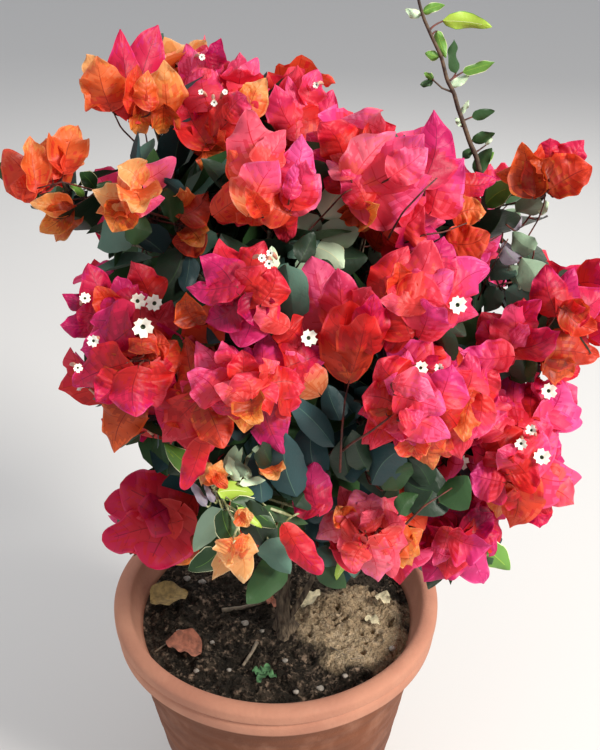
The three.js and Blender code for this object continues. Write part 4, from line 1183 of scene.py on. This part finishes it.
def dress_twig(random, mass, start, end, leaves, big):
    """Leaves round a twig in the golden turn"""
    way = end - start
    axis = unit(way)
    turn = next(random) * 6
    for k in range(leaves):
        share = (k + 0.3 + 0.5 * next(random)) / leaves
        turn += golden_turn
        away = square_to(axis, turn)
        lift = 0.9 + 0.6 * next(random)
        along = unit(axis * math.cos(lift) + away * math.sin(lift) + 0.1 * up)
        root = start + way * share + along * 5
        size = big * (1.05 - 0.45 * share) * (0.8 + 0.4 * next(random))
        facing = unit(0.6 * axis + 0.5 * up)
        if belongs(mass, root + along * 26 * size, 9) and fits(root, along, facing, 42 * size, 12 * size):
            if any(hides_shown(root + along * reach * size) for reach in (8, 22, 36)):
                continue
            tube(stalk_shape, bent(start + way * share, root, -up * 0.4, 3), [0.6, 0.5, 0.45], 4)
            add_leaf(random, root, along, facing, size)


# The sort of bract that each mass mostly bears
sorts = {
    "top_left": "orange", "top": "red", "left_wing": "amber", "left_shoulder": "amber",
    "upper_middle": "coral", "upper_right": "pink", "right_wing": "orange", "right_edge": "red",
    "left_side": "crimson", "middle_left": "crimson", "heart": "coral", "middle": "coral",
    "centre_low": "pink", "lower_right": "pink", "bottom_right": "magenta", "bottom_middle": "coral",
    "bottom_left": "magenta", "back_top": "coral", "back_left": "crimson", "back_middle": "pink",
    "back_right": "pink", "back_low_left": "magenta", "back_low_right": "coral", "young_shoots": "flame",
}


def grow_mass(mass):
    """A mass's stem and twigs, with their leaves and the blooms at their ends"""
    random = seeded(1000 + 37 * mass.number)
    stem_start = mass.tip + mass.outward * seat
    stem_end = mass.centre - mass.outward * (0.25 * mass.reach + 8)
    stem_bow = square_to(mass.outward, 1) * 1.5
    tube(twig_shape, bent(stem_start, stem_end, stem_bow), np.linspace(1.5, 1.1, 6), 7)
    dress_twig(random, mass, stem_start, stem_end, 7, 1.1)
    back = 0.3 * mass.reach + 14
    hub = mass.centre - mass.outward * back
    u = unit(np.cross(up, mass.outward))
    v = np.cross(mass.outward, u)
    wanted = round(mass.reach ** 2 / twig_area)
    for slot in range(wanted):
        lean = math.acos(1 - fan_width * (slot + 0.5) / wanted) + 0.2 * (next(random) - 0.5)
        turn = slot * golden_turn + mass.number
        way = mass.outward * math.cos(lean) + math.sin(lean) * (u * math.cos(turn) + v * math.sin(turn))
        span = math.sqrt(max(1, mass.reach ** 2 - (back * math.sin(lean)) ** 2)) + back * math.cos(lean)
        start = stem_end + (stem_start - stem_end) * min(0.95, 0.05 + 0.35 * lean)
        far = max(12, span - 38)
        while far > 12 and not belongs(mass, hub + way * (far + 26), 6):
            far -= 6
        if far <= 12:
            continue
        end = hub + way * far
        if hides_shown(end):
            continue
        bow = square_to(way, next(random) * 6) * 0.06 * far
        tube(twig_shape, bent(start, end, bow), np.linspace(1.2, 0.8, 6), 6)
        dress_twig(random, mass, start, end, 7, 1.0)
        for k in range(1 + (next(random) > 0.35)):
            aside = 0.8 * (k > 0) * square_to(way, next(random) * 6)
            axis = unit(way + 0.25 * mass.outward + aside + 0.15 * up)
            node = end + axis * (4 + 7 * next(random) + 5 * k)
            blossom = node + axis * 16
            if hides_shown(blossom, 14) or not in_outline(blossom) or not is_behind_shown(blossom):
                continue
            tube(stalk_shape, bent(end, node, -up * 0.5, 4), [0.7, 0.6, 0.6, 0.8], 5)
            add_trio(random, node, axis, 0.85 + 0.25 * next(random), sorts[mass.name])


for mass in crown:
    if mass.name != "tall_shoot":
        grow_mass(mass)

random = seeded(977)
bare_below = 300
for limb in limbs[1:]:
    if limb.mass in ("bottom_right", "tall_shoot"):
        continue
    turn = 0
    for far in np.arange(0.3 * limb.length, limb.length, 6):
        t = far / limb.length
        turn += golden_turn
        axis = limb.tangent(t)
        away = square_to(axis, turn)
        along = unit(away + (0.2 + 0.6 * next(random)) * axis + 0.2 * up)
        start = along_curve(limb.controls, t) + away * 0.8 * limb.radius(t)
        root = start + along * (8 + 16 * next(random))
        if root[2] > bare_below:
            add_lone_leaf(random, start, root, axis, along, 0.8, 0.7)

# Leafy twigs fill the crown's middle, from the nearest wood
wood = np.concatenate([limb.middle for limb in limbs[1:]])
for _ in range(core_twigs):
    end = core_middle + core_reach * np.array([2 * next(random) - 1 for _ in range(3)])
    start = wood[np.linalg.norm(wood - end, axis=1).argmin()]
    if not 10 < np.linalg.norm(end - start) < 60 or hides_shown(end):
        continue
    tube(twig_shape, bent(start, end, 2 * up), np.linspace(1.1, 0.7, 6), 5)
    axis = unit(end - start)
    for share in np.linspace(0.2, 1, 7):
        turn += golden_turn
        along = unit(square_to(axis, turn) + 0.5 * axis + 0.2 * up)
        root = start + (end - start) * share + along * 5
        add_lone_leaf(random, root - along * 5, root, axis, along, 0.4, 0.6)

for mass_name, lines in shown_stems.items():
    for order, line in lines:
        lifts = [-4, *[layer * order + 5] * (len(line) - 2), layer * order]
        places = [seen_place(by_name[mass_name], u, v, lift) for (u, v), lift in zip(line, lifts)]
        turns = np.linspace(0, len(places) - 1, 4 * len(places))
        way = np.stack([np.interp(turns, range(len(places)), column) for column in zip(*places)], 1)
        tube(stalk_shape, way, np.linspace(0.7, 0.4, len(way)), 6)
stalk_roots = {mass.name: [mass.centre - mass.outward * (0.25 * mass.reach + 8)] for mass in crown}
stalk_roots["right_wing"] = [seen_place(by_name["right_wing"], 545, 196, -8)]
for kind_of_part, mass_name, sort, base, tip, _, _, _ in shown_parts:
    if mass_name == "tall_shoot":
        continue
    known = stalk_roots[mass_name]
    deeper = [joint for joint in known[1:] if (joint - base) @ ahead > 7]
    nearest = min(known[:1] + deeper, key=lambda joint: np.linalg.norm(joint - base))
    gap = np.linalg.norm(nearest - base)
    from_behind = base - unit(tip - base) * 5 + ahead * min(10, 0.4 * gap)
    inside = nearest + (base - nearest) * 0.4 + ahead * 0.25 * gap
    way = along_curve([nearest, inside, from_behind, base + ahead * 0.5], np.linspace(0, 1, 9))
    tube(young_shape if mass_name == "young_shoots" else stalk_shape, way, np.linspace(0.8, 0.5, 9), 5)
    known.append(way[4])


def marked_skin(name, roughness, marks, dark, light):
    """The thin bark of a twig or stalk, with marks to the metre in two shades"""
    finish, shader, at = new_finish(name, {"Roughness": roughness})
    feed(shader, "Base Color", cloud(at, marks, 3).spread(0.4, 0.62).mix(colour(*dark), colour(*light)))
    return finish


twig_bark = marked_skin("twig_bark", 0.7, 300, (58, 42, 34), (98, 78, 58))
stalk_skin = marked_skin("stalk_skin", 0.6, 200, (58, 26, 22), (112, 48, 34))
young_skin = marked_skin("young_skin", 0.55, 200, (112, 116, 70), (178, 182, 140))

# Bracts
# The papery, coloured leaves round each flower: broadly ovate with a heart-shaped base and a
# point, creased and fluted, with a rib and side veins. Most run from orange or red at the base
# to pinker at the point; what has the same shade is one piece, so that a piece has one colour.
hue_names = ("amber", "orange", "flame", "scarlet", "cherry", "rose", "magenta")
# The tints from amber to magenta, in a row for each level from deep to nearly white
bract_anchors = [
    [(142, 60, 24), (158, 36, 18), (158, 14, 24), (152, 10, 46), (140, 12, 70)],
    [(236, 130, 50), (230, 82, 36), (222, 38, 36), (220, 28, 64), (212, 28, 104)],
    [(247, 178, 112), (246, 132, 92), (247, 100, 98), (250, 90, 128), (247, 92, 162)],
    [(252, 222, 176), (250, 184, 146), (252, 156, 148), (254, 150, 178), (252, 160, 206)],
]
level_names = ("deep", "dusky", "full", "bright", "light", "pale", "faint")
level_places = np.array((0, 0.36, 0.7, 1.04, 1.46, 1.95, 2.45))
# Each sort: hue at the base and point (0 amber to 6 magenta), level at the base, middle and
# point (0 deep to 3 nearly white), and how creased.
# Some sorts are partly painted light or shade. The pale, faint, blush, orchid and gold sorts paint pale tops
# and highlights as if sunlit, also on blooms that stand in the crown's shade; the deep, ember, umber and
# rusty sorts paint shade on bracts in shade or in a spray's hollow. Both are partly the bracts' own tints.
bract_sorts = {
    "amber": (1.3, 0.1, 1.0, 1.45, 2.1, 1.0), "orange": (1.9, 0.7, 0.9, 1.15, 1.7, 0.9),
    "flame": (2.3, 2.3, 0.95, 1.1, 1.4, 0.7), "coral": (2.3, 3.8, 1.0, 1.5, 1.7, 0.8),
    "red": (2.4, 3.8, 0.8, 1.0, 1.4, 0.7), "rose": (2.9, 4.8, 1.0, 1.45, 1.75, 0.7),
    "pink": (3.4, 5.2, 1.25, 1.65, 1.95, 0.7), "pale": (3.7, 5.2, 1.6, 2.1, 2.45, 1.0),
    "crimson": (2.8, 5.2, 0.65, 0.85, 1.2, 0.6), "magenta": (4.4, 6.0, 0.7, 0.9, 1.3, 0.6),
    "deep": (4.6, 6.0, 0.1, 0.45, 0.9, 0.5), "rusty": (0.9, 0.3, 0.15, 0.75, 1.7, 1.0),
    "umber": (0.7, 0.8, 0.05, 0.45, 0.9, 0.8), "ember": (1.4, 1.8, 0.25, 0.65, 0.95, 0.8),
    "toasted": (1.3, 3.0, 0.5, 0.85, 1.1, 0.8), "gold": (0.7, 0.1, 1.5, 1.9, 2.3, 1.0),
    "sunset": (0.5, 4.6, 1.7, 1.8, 2.1, 0.6), "fuchsia": (3.6, 5.9, 1.1, 1.5, 1.7, 0.5),
    "orchid": (5.0, 6.0, 1.3, 1.8, 2.1, 0.7), "salmon": (2.6, 3.6, 1.4, 1.8, 2.1, 0.8),
    "cherry": (2.9, 4.4, 1.0, 1.08, 1.1, 0.4), "tawny": (1.2, 0.9, 0.3, 0.7, 1.0, 0.8),
    "blush": (3.0, 4.0, 1.4, 1.8, 2.0, 0.7), "faint": (3.2, 4.4, 1.9, 2.3, 2.6, 0.8),
}
# The sorts that blooms grown by rule take in turn, by the sort that their mass mostly bears
neighbours = {
    "coral": ("rose", "red", "coral", "flame"), "red": ("red", "coral", "crimson"),
    "pink": ("pink", "rose", "pink", "fuchsia"), "crimson": ("crimson", "red", "magenta", "rose"),
    "magenta": ("magenta", "crimson", "magenta", "pink"), "amber": ("amber", "orange", "rusty", "amber"),
    "orange": ("orange", "flame", "amber", "orange"), "flame": ("flame", "orange", "flame"),
}
# A bract's form, in millimetres and in shares of its length and width
bract = {
    "length": 34, "width": 28, "base": 0.46, "point": 0.74, "fold": 0.2, "cup": 0.34, "curl": 0.12,
    "ruffle": 2.6, "waves": 2.2, "puff": 0.38, "lean": 0.2, "heart": 0.1, "crease": 0.8, "twist": 0.2,
}
# The creases of a bract: their direction in radians, how far apart they lie and how deep they are
creases = [(0.4, 11.0, 1.0), (1.9, 15.0, 1.1), (2.9, 7.5, 0.5)]
# How far from base to point the side veins leave the rib
vein_rows = [0.07, 0.19, 0.32, 0.46, 0.61, 0.77]
vein_half = 0.006
paper_glow = 0.36


def bract_rows(between):
    """Rows from base to point: two close ones at each vein, and some between the veins"""
    rows = [0, 1]
    for low, high in zip([0, *vein_rows], [*vein_rows, 1]):
        rows.extend(np.linspace(low, high, between + 2)[1:-1])
    rows.extend(row + side * vein_half for row in vein_rows for side in (-1, 1))
    return np.array(sorted(rows))


def blade(kind, root, along, facing, size, luck, rows, columns):
    """The points and normals of one bract or leaf, and how far along and across each point is"""
    r, t = np.meshgrid(rows, columns, indexing="ij")
    far = np.abs(t)
    s = r + kind["lean"] * far * np.sin(math.pi * r)
    peak = kind["base"] / (kind["base"] + kind["point"])
    swell = (s / peak) ** kind["base"] * (np.maximum(1 - s, 0) / (1 - peak)) ** kind["point"]
    broad = kind["width"] / 2
    half = broad * np.maximum(swell, 0.03)
    phase = 2 * math.pi * luck * (1 + (t > 0))
    half = half * (1 + 0.05 * np.sin(10 * s + 3 * phase) + 0.02 * np.sin(27 * s + 5 * phase))
    x = kind["length"] * (s - kind["heart"] * far * np.maximum(1 - s, 0) ** 6)
    bow = 0.14 * kind["width"] * math.sin(40 * luck)
    y = t * half + bow * np.sin(math.pi * s)
    z = kind["fold"] * np.abs(t * half) + kind["cup"] * (t * half) ** 2 / broad
    z = z + kind["curl"] * (1.6 * (luck * 7 % 1) - 0.3) * kind["length"] * s * s
    z = z + kind["twist"] * math.sin(90 * luck) * (t * half) * s
    wave = np.sin(2 * math.pi * kind["waves"] * s + 2 * phase) + 0.5 * np.sin(9.1 * s * kind["waves"] + phase)
    z = z + kind["ruffle"] * far ** 2.2 * wave * np.sqrt(half / broad)
    between = np.interp(r, [0, *vein_rows, 1], np.arange(len(vein_rows) + 2)) % 1
    z = z - kind["puff"] * np.sin(math.pi * between) ** 2 * (1 - far ** 4) * (1 - (far < 0.05))
    for number, (turn, gap, deep) in enumerate(creases):
        across = x * math.cos(turn + 6 * luck) + y * math.sin(turn + 6 * luck)
        ridge = np.abs(np.sin(math.pi * across / gap + 9 * luck + number)) - 0.64
        z = z + kind["crease"] * deep * ridge * np.minimum(1, 4 * s) * min(1, broad / 12)
    across = unit(np.cross(along, facing))
    face = np.cross(across, along)
    points = root + size * (x[..., None] * along + y[..., None] * across + z[..., None] * face)
    normals = np.cross(np.gradient(points, axis=1), np.gradient(points, axis=0))
    normals /= np.maximum(np.linalg.norm(normals, axis=2), 1e-9)[..., None]
    return points, normals, s, far


class BladeGrid:
    """The rows, columns and faces of a blade, and what each face is"""

    def __init__(self, rows, columns):
        self.rows = rows
        self.columns = np.array(columns)
        self.faces = grid_faces(len(rows), len(columns))
        row, column = np.divmod(np.arange(len(self.faces)), len(columns) - 1)
        middle = (rows[row] + rows[row + 1]) / 2
        from_vein = np.abs(middle[:, None] - np.array(vein_rows)).min(1)
        self.is_rib = self.columns[column] * self.columns[column + 1] < 0
        self.is_vein = (from_vein < vein_half / 2) & ~self.is_rib
        self.speckle = np.random.default_rng(5).random((2, len(self.faces))) - 0.5


half_columns = [0.022, 0.16, 0.31, 0.46, 0.61, 0.76, 0.89, 1]
fine_grid = BladeGrid(bract_rows(3), [*[-t for t in reversed(half_columns)], *half_columns])
plain_grid = BladeGrid(bract_rows(1), [-1, -0.88, -0.62, -0.32, -0.026, 0.026, 0.32, 0.62, 0.88, 1])
bract_shapes = {}


def add_bract(grid, kind, root, along, facing, size, sort, luck):
    low_hue, high_hue, *levels, crease = bract_sorts[sort]
    kind = {**kind, "crease": crease * kind["crease"]}
    points, normals, s, far = blade(kind, root, along, facing, size, luck, grid.rows, grid.columns)
    points, normals = points.reshape(-1, 3), normals.reshape(-1, 3)
    s, far = s.ravel()[grid.faces].mean(1), far.ravel()[grid.faces].mean(1)
    cloudy = np.sin(7 * s + 9 * far + 20 * luck) * np.sin(13 * s - 6 * far + 31 * luck)
    blotchy = np.sin(11 * s - 8 * far + 50 * luck) * np.sin(5 * s + 12 * far + 14 * luck)
    speckle = np.roll(grid.speckle, int(997 * luck), 1)
    share = smooth(0, 0.85, s) + 0.1 * (luck * 5 % 1) + 0.12 * far
    hue = low_hue + (high_hue - low_hue) * share + 0.3 * cloudy + 0.1 * speckle[0]
    edge = 0.5 if low_hue < 2 else 0.3
    level = np.interp(s, (0, 0.5, 1), levels) + edge * smooth(0.86, 0.97, far) + 0.14 * blotchy
    level = level + 0.06 * speckle[1] - 0.2 * grid.is_vein
    level = level - 0.7 * (grid.is_rib & (s < 0.85))
    hue = np.clip(np.rint(hue), 0, len(hue_names) - 1).astype(int)
    level = np.searchsorted((level_places[1:] + level_places[:-1]) / 2, level)
    shade = level * len(hue_names) + hue
    for step in np.unique(shade):
        used, local = np.unique(grid.faces[shade == step], return_inverse=True)
        shape = bract_shapes.setdefault(int(step), Shape())
        shape.add(points[used], [local.reshape(-1, 4)], normals[used])


for number, (kind_of_part, _, sort, base, tip, facing, wide, side) in enumerate(shown_parts):
    if kind_of_part in ("bract", "backing"):
        luck = (number * golden_share) % 1
        shown_kind = {**bract, "length": np.linalg.norm(tip - base), "width": 1.08 * wide}
        shown_kind["cup"] = 0.5 if side > 0 else 0.3
        shown_kind["ruffle"] = (3.8 if sort in ("amber", "rusty", "orange") else 3.0) * min(1, wide / 22)
        shown_kind["point"] = 0.55 if sort == "cherry" else 0.7 + 0.35 * (luck * 3 % 1)
        shown_kind["curl"] = 0
        grid = fine_grid if kind_of_part == "bract" else plain_grid
        add_bract(grid, shown_kind, base, unit(tip - base), facing, 1, sort, luck)

for root, along, facing, size, sort, luck in bract_places:
    choices = neighbours.get(sort, (sort,))
    add_bract(plain_grid, bract, root, along, facing, size, choices[int(luck * 97) % len(choices)], luck)


def paper(name, tint):
    """Thin living tissue: a soft sheen above, and some light that comes through"""
    settings = {"Base Color": tint, "Specular IOR Level": 0.45, "Roughness": 0.5}
    finish, shader, at = new_finish(name, settings)
    feed(shader, "Normal", bump(cloud(at, 700, 3), 0.35, 0.0006))
    through = at.node("ShaderNodeBsdfTranslucent", {}, {"Color": tint})
    shine = Value(finish.node_tree, shader.outputs[0])
    mixed = at.node("ShaderNodeMixShader", {}, {"Fac": paper_glow, 1: shine, 2: through})
    finish.node_tree.links.new(mixed.socket, finish.node_tree.nodes["Material Output"].inputs["Surface"])
    return finish


mass_nodes = [f"mass_{mass.name}" for mass in crown]
anchors = np.array(bract_anchors, float)
for step, shape in sorted(bract_shapes.items()):
    level, hue = divmod(step, len(hue_names))
    place = hue / (len(hue_names) - 1) * (anchors.shape[1] - 1)
    row = [np.interp(level_places[level], range(len(anchors)), column) for column in anchors.reshape(4, -1).T]
    row = np.reshape(row, (-1, 3))
    tint = [np.interp(place, range(len(row)), channel) for channel in row.T]
    name = f"{level_names[level]}_{hue_names[hue]}"
    finish = paper(f"{name}_bract", colour(*tint))
    shape.piece(f"bracts_{name}", finish, "amber_bracts" if hue < 2 else "bracts")

# Leaves
# Ovate leaves, from dark green to slate and sage, soft and a little folded; those of the young
# shoots are bright with a cream edge. They stand round every twig and fill the crown. The shade
# leaves are a painted shade of the dark ones; the blue and grey leaves carry a painted sheen of the
# pale sky on their own sage tint, and the grey and mint ones are painted paler as if sunlit.
leaf_colours = {
    "shade": (36, 54, 38), "dark": (50, 80, 44), "fresh": (104, 150, 62), "slate": (48, 76, 78),
    "blue": (86, 120, 104), "grey": (148, 176, 146), "lime": (166, 196, 72), "mint": (196, 222, 186),
    "mauve": (156, 148, 160), "cream": (228, 232, 182),
}
# What each leaf has for its body, its rib and its edge
leaf_dress = {
    "shade": ("shade", "dark", "shade"), "dark": ("dark", "dark", "dark"),
    "slate": ("slate", "blue", "slate"), "blue": ("blue", "blue", "blue"),
    "grey": ("grey", "grey", "grey"), "fresh": ("fresh", "lime", "cream"),
    "lime": ("lime", "cream", "fresh"), "mint": ("mint", "cream", "cream"),
    "mauve": ("mauve", "grey", "mauve"), "edged": ("dark", "fresh", "cream"),
}
leaf_sorts = ("dark", "shade", "dark", "slate", "dark", "blue", "shade", "dark", "shade", "slate", "blue")
leaf = {
    "length": 44, "width": 28, "base": 0.5, "point": 0.8, "fold": 0.22, "cup": 0.16, "curl": -0.16,
    "ruffle": 1.1, "waves": 1.4, "puff": 0.3, "lean": 0.15, "heart": 0.02, "crease": 0.25, "twist": 0.25,
}
shown_leaf_columns = [-1, -0.93, -0.75, -0.5, -0.25, -0.02, 0.02, 0.25, 0.5, 0.75, 0.93, 1]
shown_leaf_grid = BladeGrid(np.linspace(0, 1, 15), shown_leaf_columns)
leaf_rows = np.array([0, 0.07, 0.22, 0.4, 0.58, 0.76, 0.9, 1])
leaf_grid = BladeGrid(leaf_rows, [-1, -0.93, -0.5, -0.03, 0.03, 0.5, 0.93, 1])
leaf_shapes = {name: Shape() for name in leaf_colours}


def add_leaf_blade(grid, kind, root, along, facing, size, sort, luck):
    points, normals, s, _ = blade(kind, root, along, facing, size, luck, grid.rows, grid.columns)
    points, normals = points.reshape(-1, 3), normals.reshape(-1, 3)
    count = len(grid.columns) - 1
    column = np.arange(len(grid.faces)) % count
    is_edge = (column == 0) | (column == count - 1)
    near_tip = s.ravel()[grid.faces].mean(1) > 0.8
    parts = zip(leaf_dress[sort], (~is_edge & ~(grid.is_rib & ~near_tip), grid.is_rib & ~near_tip, is_edge))
    for name, chosen in parts:
        used, local = np.unique(grid.faces[chosen], return_inverse=True)
        leaf_shapes[name].add(points[used], [local.reshape(-1, 4)], normals[used])


for number, (kind_of_part, _, sort, base, tip, facing, wide, _) in enumerate(shown_parts):
    if kind_of_part == "leaf":
        luck = (number * golden_share) % 1
        shown_kind = {**leaf, "length": np.linalg.norm(tip - base), "width": wide, "curl": 0}
        add_leaf_blade(shown_leaf_grid, shown_kind, base, unit(tip - base), facing, 1, sort, luck)

for root, along, facing, size, luck in leaf_places:
    sort = leaf_sorts[int(luck * 89) % len(leaf_sorts)]
    add_leaf_blade(leaf_grid, leaf, root, along, facing, size, sort, luck)

# Tall shoot
# One long young stem that rises above the crown, in thin brown bark. Its small bright leaves are
# laid out with the blooms that show; this is its stem, with a side twig and the leaves' stalks.
shoot = by_name["tall_shoot"]
shoot_places = [
    (476, 156), (470, 143), (463, 122), (458, 108), (454, 93), (447, 80), (441.5, 57), (431.5, 36),
    (424, 19), (420, 6), (416, -12), (413, -28),
]
side_twig = [(452, 92), (442, 88), (433, 80)]
shoot_line = [shoot.tip + shoot.outward * seat] + [seen_place(shoot, u, v) for u, v in shoot_places]
turns = np.linspace(0, len(shoot_line) - 1, 40)
shoot_way = np.stack([np.interp(turns, range(len(shoot_line)), column) for column in zip(*shoot_line)], 1)
tube(twig_shape, shoot_way, np.linspace(1.7, 0.8, 40), 8)
side_line = np.array([seen_place(shoot, u, v) for u, v in side_twig])
tube(twig_shape, side_line, [0.7, 0.6, 0.5], 6)
shoot_wood = np.concatenate((shoot_way, side_line))
for _, mass_name, _, base, tip, _, _, _ in shown_parts:
    if mass_name == "tall_shoot":
        start = shoot_wood[np.linalg.norm(shoot_wood - base, axis=1).argmin()]
        tube(stalk_shape, bent(start, base, (base - tip) * 0.04, 5), [0.8, 0.7, 0.6, 0.6, 0.5], 5)

twig_shape.piece("twigs", twig_bark, "bark", mass_nodes)
stalk_shape.piece("flower_and_leaf_stalks", stalk_skin, "bark")
young_shape.piece("young_stalks", young_skin, "leaves")
for name, tint in leaf_colours.items():
    leaf_skin, leaf_shader, at = new_finish(
        f"{name}_leaf", {"Base Color": colour(*tint), "Roughness": 0.45, "Specular IOR Level": 0.3}
    )
    feed(leaf_shader, "Normal", bump(cloud(at, 500, 3), 0.3, 0.0006))
    leaf_shapes[name].piece(f"leaves_{name}", leaf_skin, "leaves")

# Flowers
# The true flowers are small cream-white stars with a green throat, at the mouth of a slim tube
# that stands on each bract's rib. Most are still closed buds.
star_lobes = 5
star_share = 0.16
star_shape = Shape()
throat_shape = Shape()
bud_shape = Shape()


def add_star(place, axis, size, luck):
    """A five-lobed star: each lobe is notched, and the throat is sunk"""
    turns = 4 * star_lobes
    angles = np.linspace(0, 2 * math.pi, turns, endpoint=False) + 6 * luck
    level = np.zeros(turns)
    lobes = np.tile((0.7, 1, 0.88, 1), star_lobes)
    waves = 0.06 + 0.16 * np.tile((-1, 0.6, 1, 0.6), star_lobes)
    u = square_to(axis, 0)
    v = np.cross(axis, u)
    spokes = u * np.cos(angles)[:, None] + v * np.sin(angles)[:, None]
    rings = []
    for reach, lift in ((level + 0.24, level - 0.2), (level + 0.5, level), (lobes, waves)):
        rings.append(place + size * (spokes * reach[:, None] + axis * lift[:, None]))
    star_shape.add(np.concatenate(rings), [grid_faces(len(rings), turns, closed=True)])
    throat = np.concatenate((rings[0], [place - axis * 0.6 * size]))
    throat_shape.add(throat, [[(k, (k + 1) % turns, turns) for k in range(turns)]])


for root, tip, luck in flower_places:
    way = tip - root
    swell = (0.7, 1.0, 1.15, 0.9, 0.75, 1.0) if luck > 0.15 else (0.7, 1.1, 1.2, 0.9, 0.8, 0.9)
    has_star = luck < star_share
    tube(bud_shape, bent(root, tip - unit(way) * (3.6 if has_star else 0), way * 0.02, 6), swell, 6)
    if has_star:
        add_star(tip, unit(way), 5.6, luck)

for mass_name, rows in shown_stars.items():
    for number, (u, v, wide) in enumerate(rows):
        place = seen_place(by_name[mass_name], u, v, 30)
        toward = unit(unit(eye - place) + 0.3 * square_to(unit(eye - place), 2.4 * number))
        size = wide / 2 * ((place - eye) @ ahead) / focal_pixels
        add_star(place, toward, size, 0.13 * number)
        neck = bent(place - toward * 15, place - toward * 0.65 * size, up, 5)
        tube(bud_shape, neck, [0.7, 1.1, 1.2, 0.9, 0.9], 6)

# Each kind of flower piece: its mesh, its material, its tint and its roughness
flower_pieces = {
    "flower_stars": (star_shape, "petal", (250, 247, 232), 0.5),
    "flower_throats": (throat_shape, "throat_skin", (48, 60, 30), 0.6),
    "flower_tubes": (bud_shape, "bud_skin", (206, 150, 124), 0.5),
}
for name, (shape, skin_name, tint, roughness) in flower_pieces.items():
    skin, skin_shader, at = new_finish(skin_name, {"Base Color": colour(*tint), "Roughness": roughness})
    feed(skin_shader, "Normal", bump(cloud(at, 900, 3), 0.3, 0.0004))
    shape.piece(name, skin, "flowers")

# Litter
# What lies loose on the soil: two dry bracts and a scrap of one, a few pale petals, twigs and
# pebbles. A small green weed grows among them.
litter_skins = {
    "straw": (168, 140, 84), "rust": (172, 106, 82), "cream": (226, 214, 176), "twig": (142, 128, 108),
    "pebble": (172, 164, 152), "weed": (84, 132, 84),
}
litter_shapes = {name: Shape() for name in litter_skins}
fallen = {**bract, "ruffle": 1.6, "curl": 0.05, "crease": 0.6}
# Each: skin, base and point in the picture, width in pixels
fallen_blades = [
    ("straw", 154, 603, 188, 592, 32), ("rust", 198, 652, 166, 644, 26), ("cream", 376, 600, 389, 609, 13),
    ("cream", 366, 624, 380, 630, 9), ("cream", 303, 608, 320, 597, 12), ("weed", 264, 674, 252, 670, 8),
    ("weed", 264, 674, 268, 664, 7), ("weed", 264, 674, 277, 677, 7), ("weed", 264, 674, 258, 684, 7),
    ("rust", 276, 604, 262, 600, 10),
]
# Each: skin, its places in the picture, radius in millimetres
fallen_sticks = [
    ("twig", [(257, 641), (252, 650), (243, 664)], 1.6), ("twig", [(222, 609), (242, 604), (268, 598)], 2.0),
    ("twig", [(154, 648), (166, 643)], 0.8), ("twig", [(330, 652), (352, 664), (360, 662)], 0.7),
]
# Each: its place in the picture and its width there
pebbles = [
    (187, 577, 8), (202, 580, 9), (245, 622, 8), (285, 660, 6), (196, 668, 6), (320, 686, 8), (229, 668, 5),
    (392, 650, 7), (178, 628, 5), (296, 690, 6), (345, 676, 6), (212, 640, 5), (262, 628, 5),
]


def ground_place(u, v, lift=0):
    """Where a line of sight meets the soil"""
    way = sight(u, v)
    place = eye + way * ((soil_edge + 5 - eye[2]) / way[2])
    return np.array((place[0], place[1], soil_height(place[0], place[1]) + lift))


for number, (skin, base_u, base_v, tip_u, tip_v, width) in enumerate(fallen_blades):
    root, tip = ground_place(base_u, base_v, 5), ground_place(tip_u, tip_v, 6)
    kind = {**fallen, "length": np.linalg.norm(tip - root), "width": width * 0.9}
    points, normals, _, _ = blade(
        kind, root, unit(tip - root), up, 1, number * 0.37 % 1, plain_grid.rows, plain_grid.columns
    )
    litter_shapes[skin].add(points, [plain_grid.faces], normals)
for skin, line, thick in fallen_sticks:
    places = [ground_place(u, v, thick) for u, v in line]
    tube(litter_shapes[skin], places, np.linspace(thick, 0.7 * thick, len(places)), 7)
ball_lats = np.linspace(-1.5, 1.5, 7)
ball_turns = np.linspace(0, 2 * math.pi, 9, endpoint=False)
lat, turn = np.meshgrid(ball_lats, ball_turns, indexing="ij")
ball = np.stack((np.cos(lat) * np.cos(turn), 0.8 * np.cos(lat) * np.sin(turn), 0.65 * np.sin(lat)), 2)
ball_faces = grid_faces(len(ball_lats), len(ball_turns), closed=True)
for number, (u, v, wide) in enumerate(pebbles):
    middle = ground_place(u, v, 0.6)
    knobbly = 1 + 0.14 * np.sin(3 * turn + number) * np.cos(2 * lat + number)
    points = middle + 0.4 * wide * knobbly[..., None] * ball
    litter_shapes["pebble"].add(points, [ball_faces])
for name, tint in litter_skins.items():
    skin, skin_shader, at = new_finish(f"{name}_litter", {"Roughness": 0.8})
    worn = cloud(at, 240, 4).spread(0.35, 0.65)
    feed(skin_shader, "Base Color", worn.mix(colour(*[0.72 * c for c in tint]), colour(*tint)))
    feed(skin_shader, "Normal", bump(cloud(at, 900, 3), 0.5, 0.0006))
    litter_shapes[name].piece(f"litter_{name}", skin, "soil")
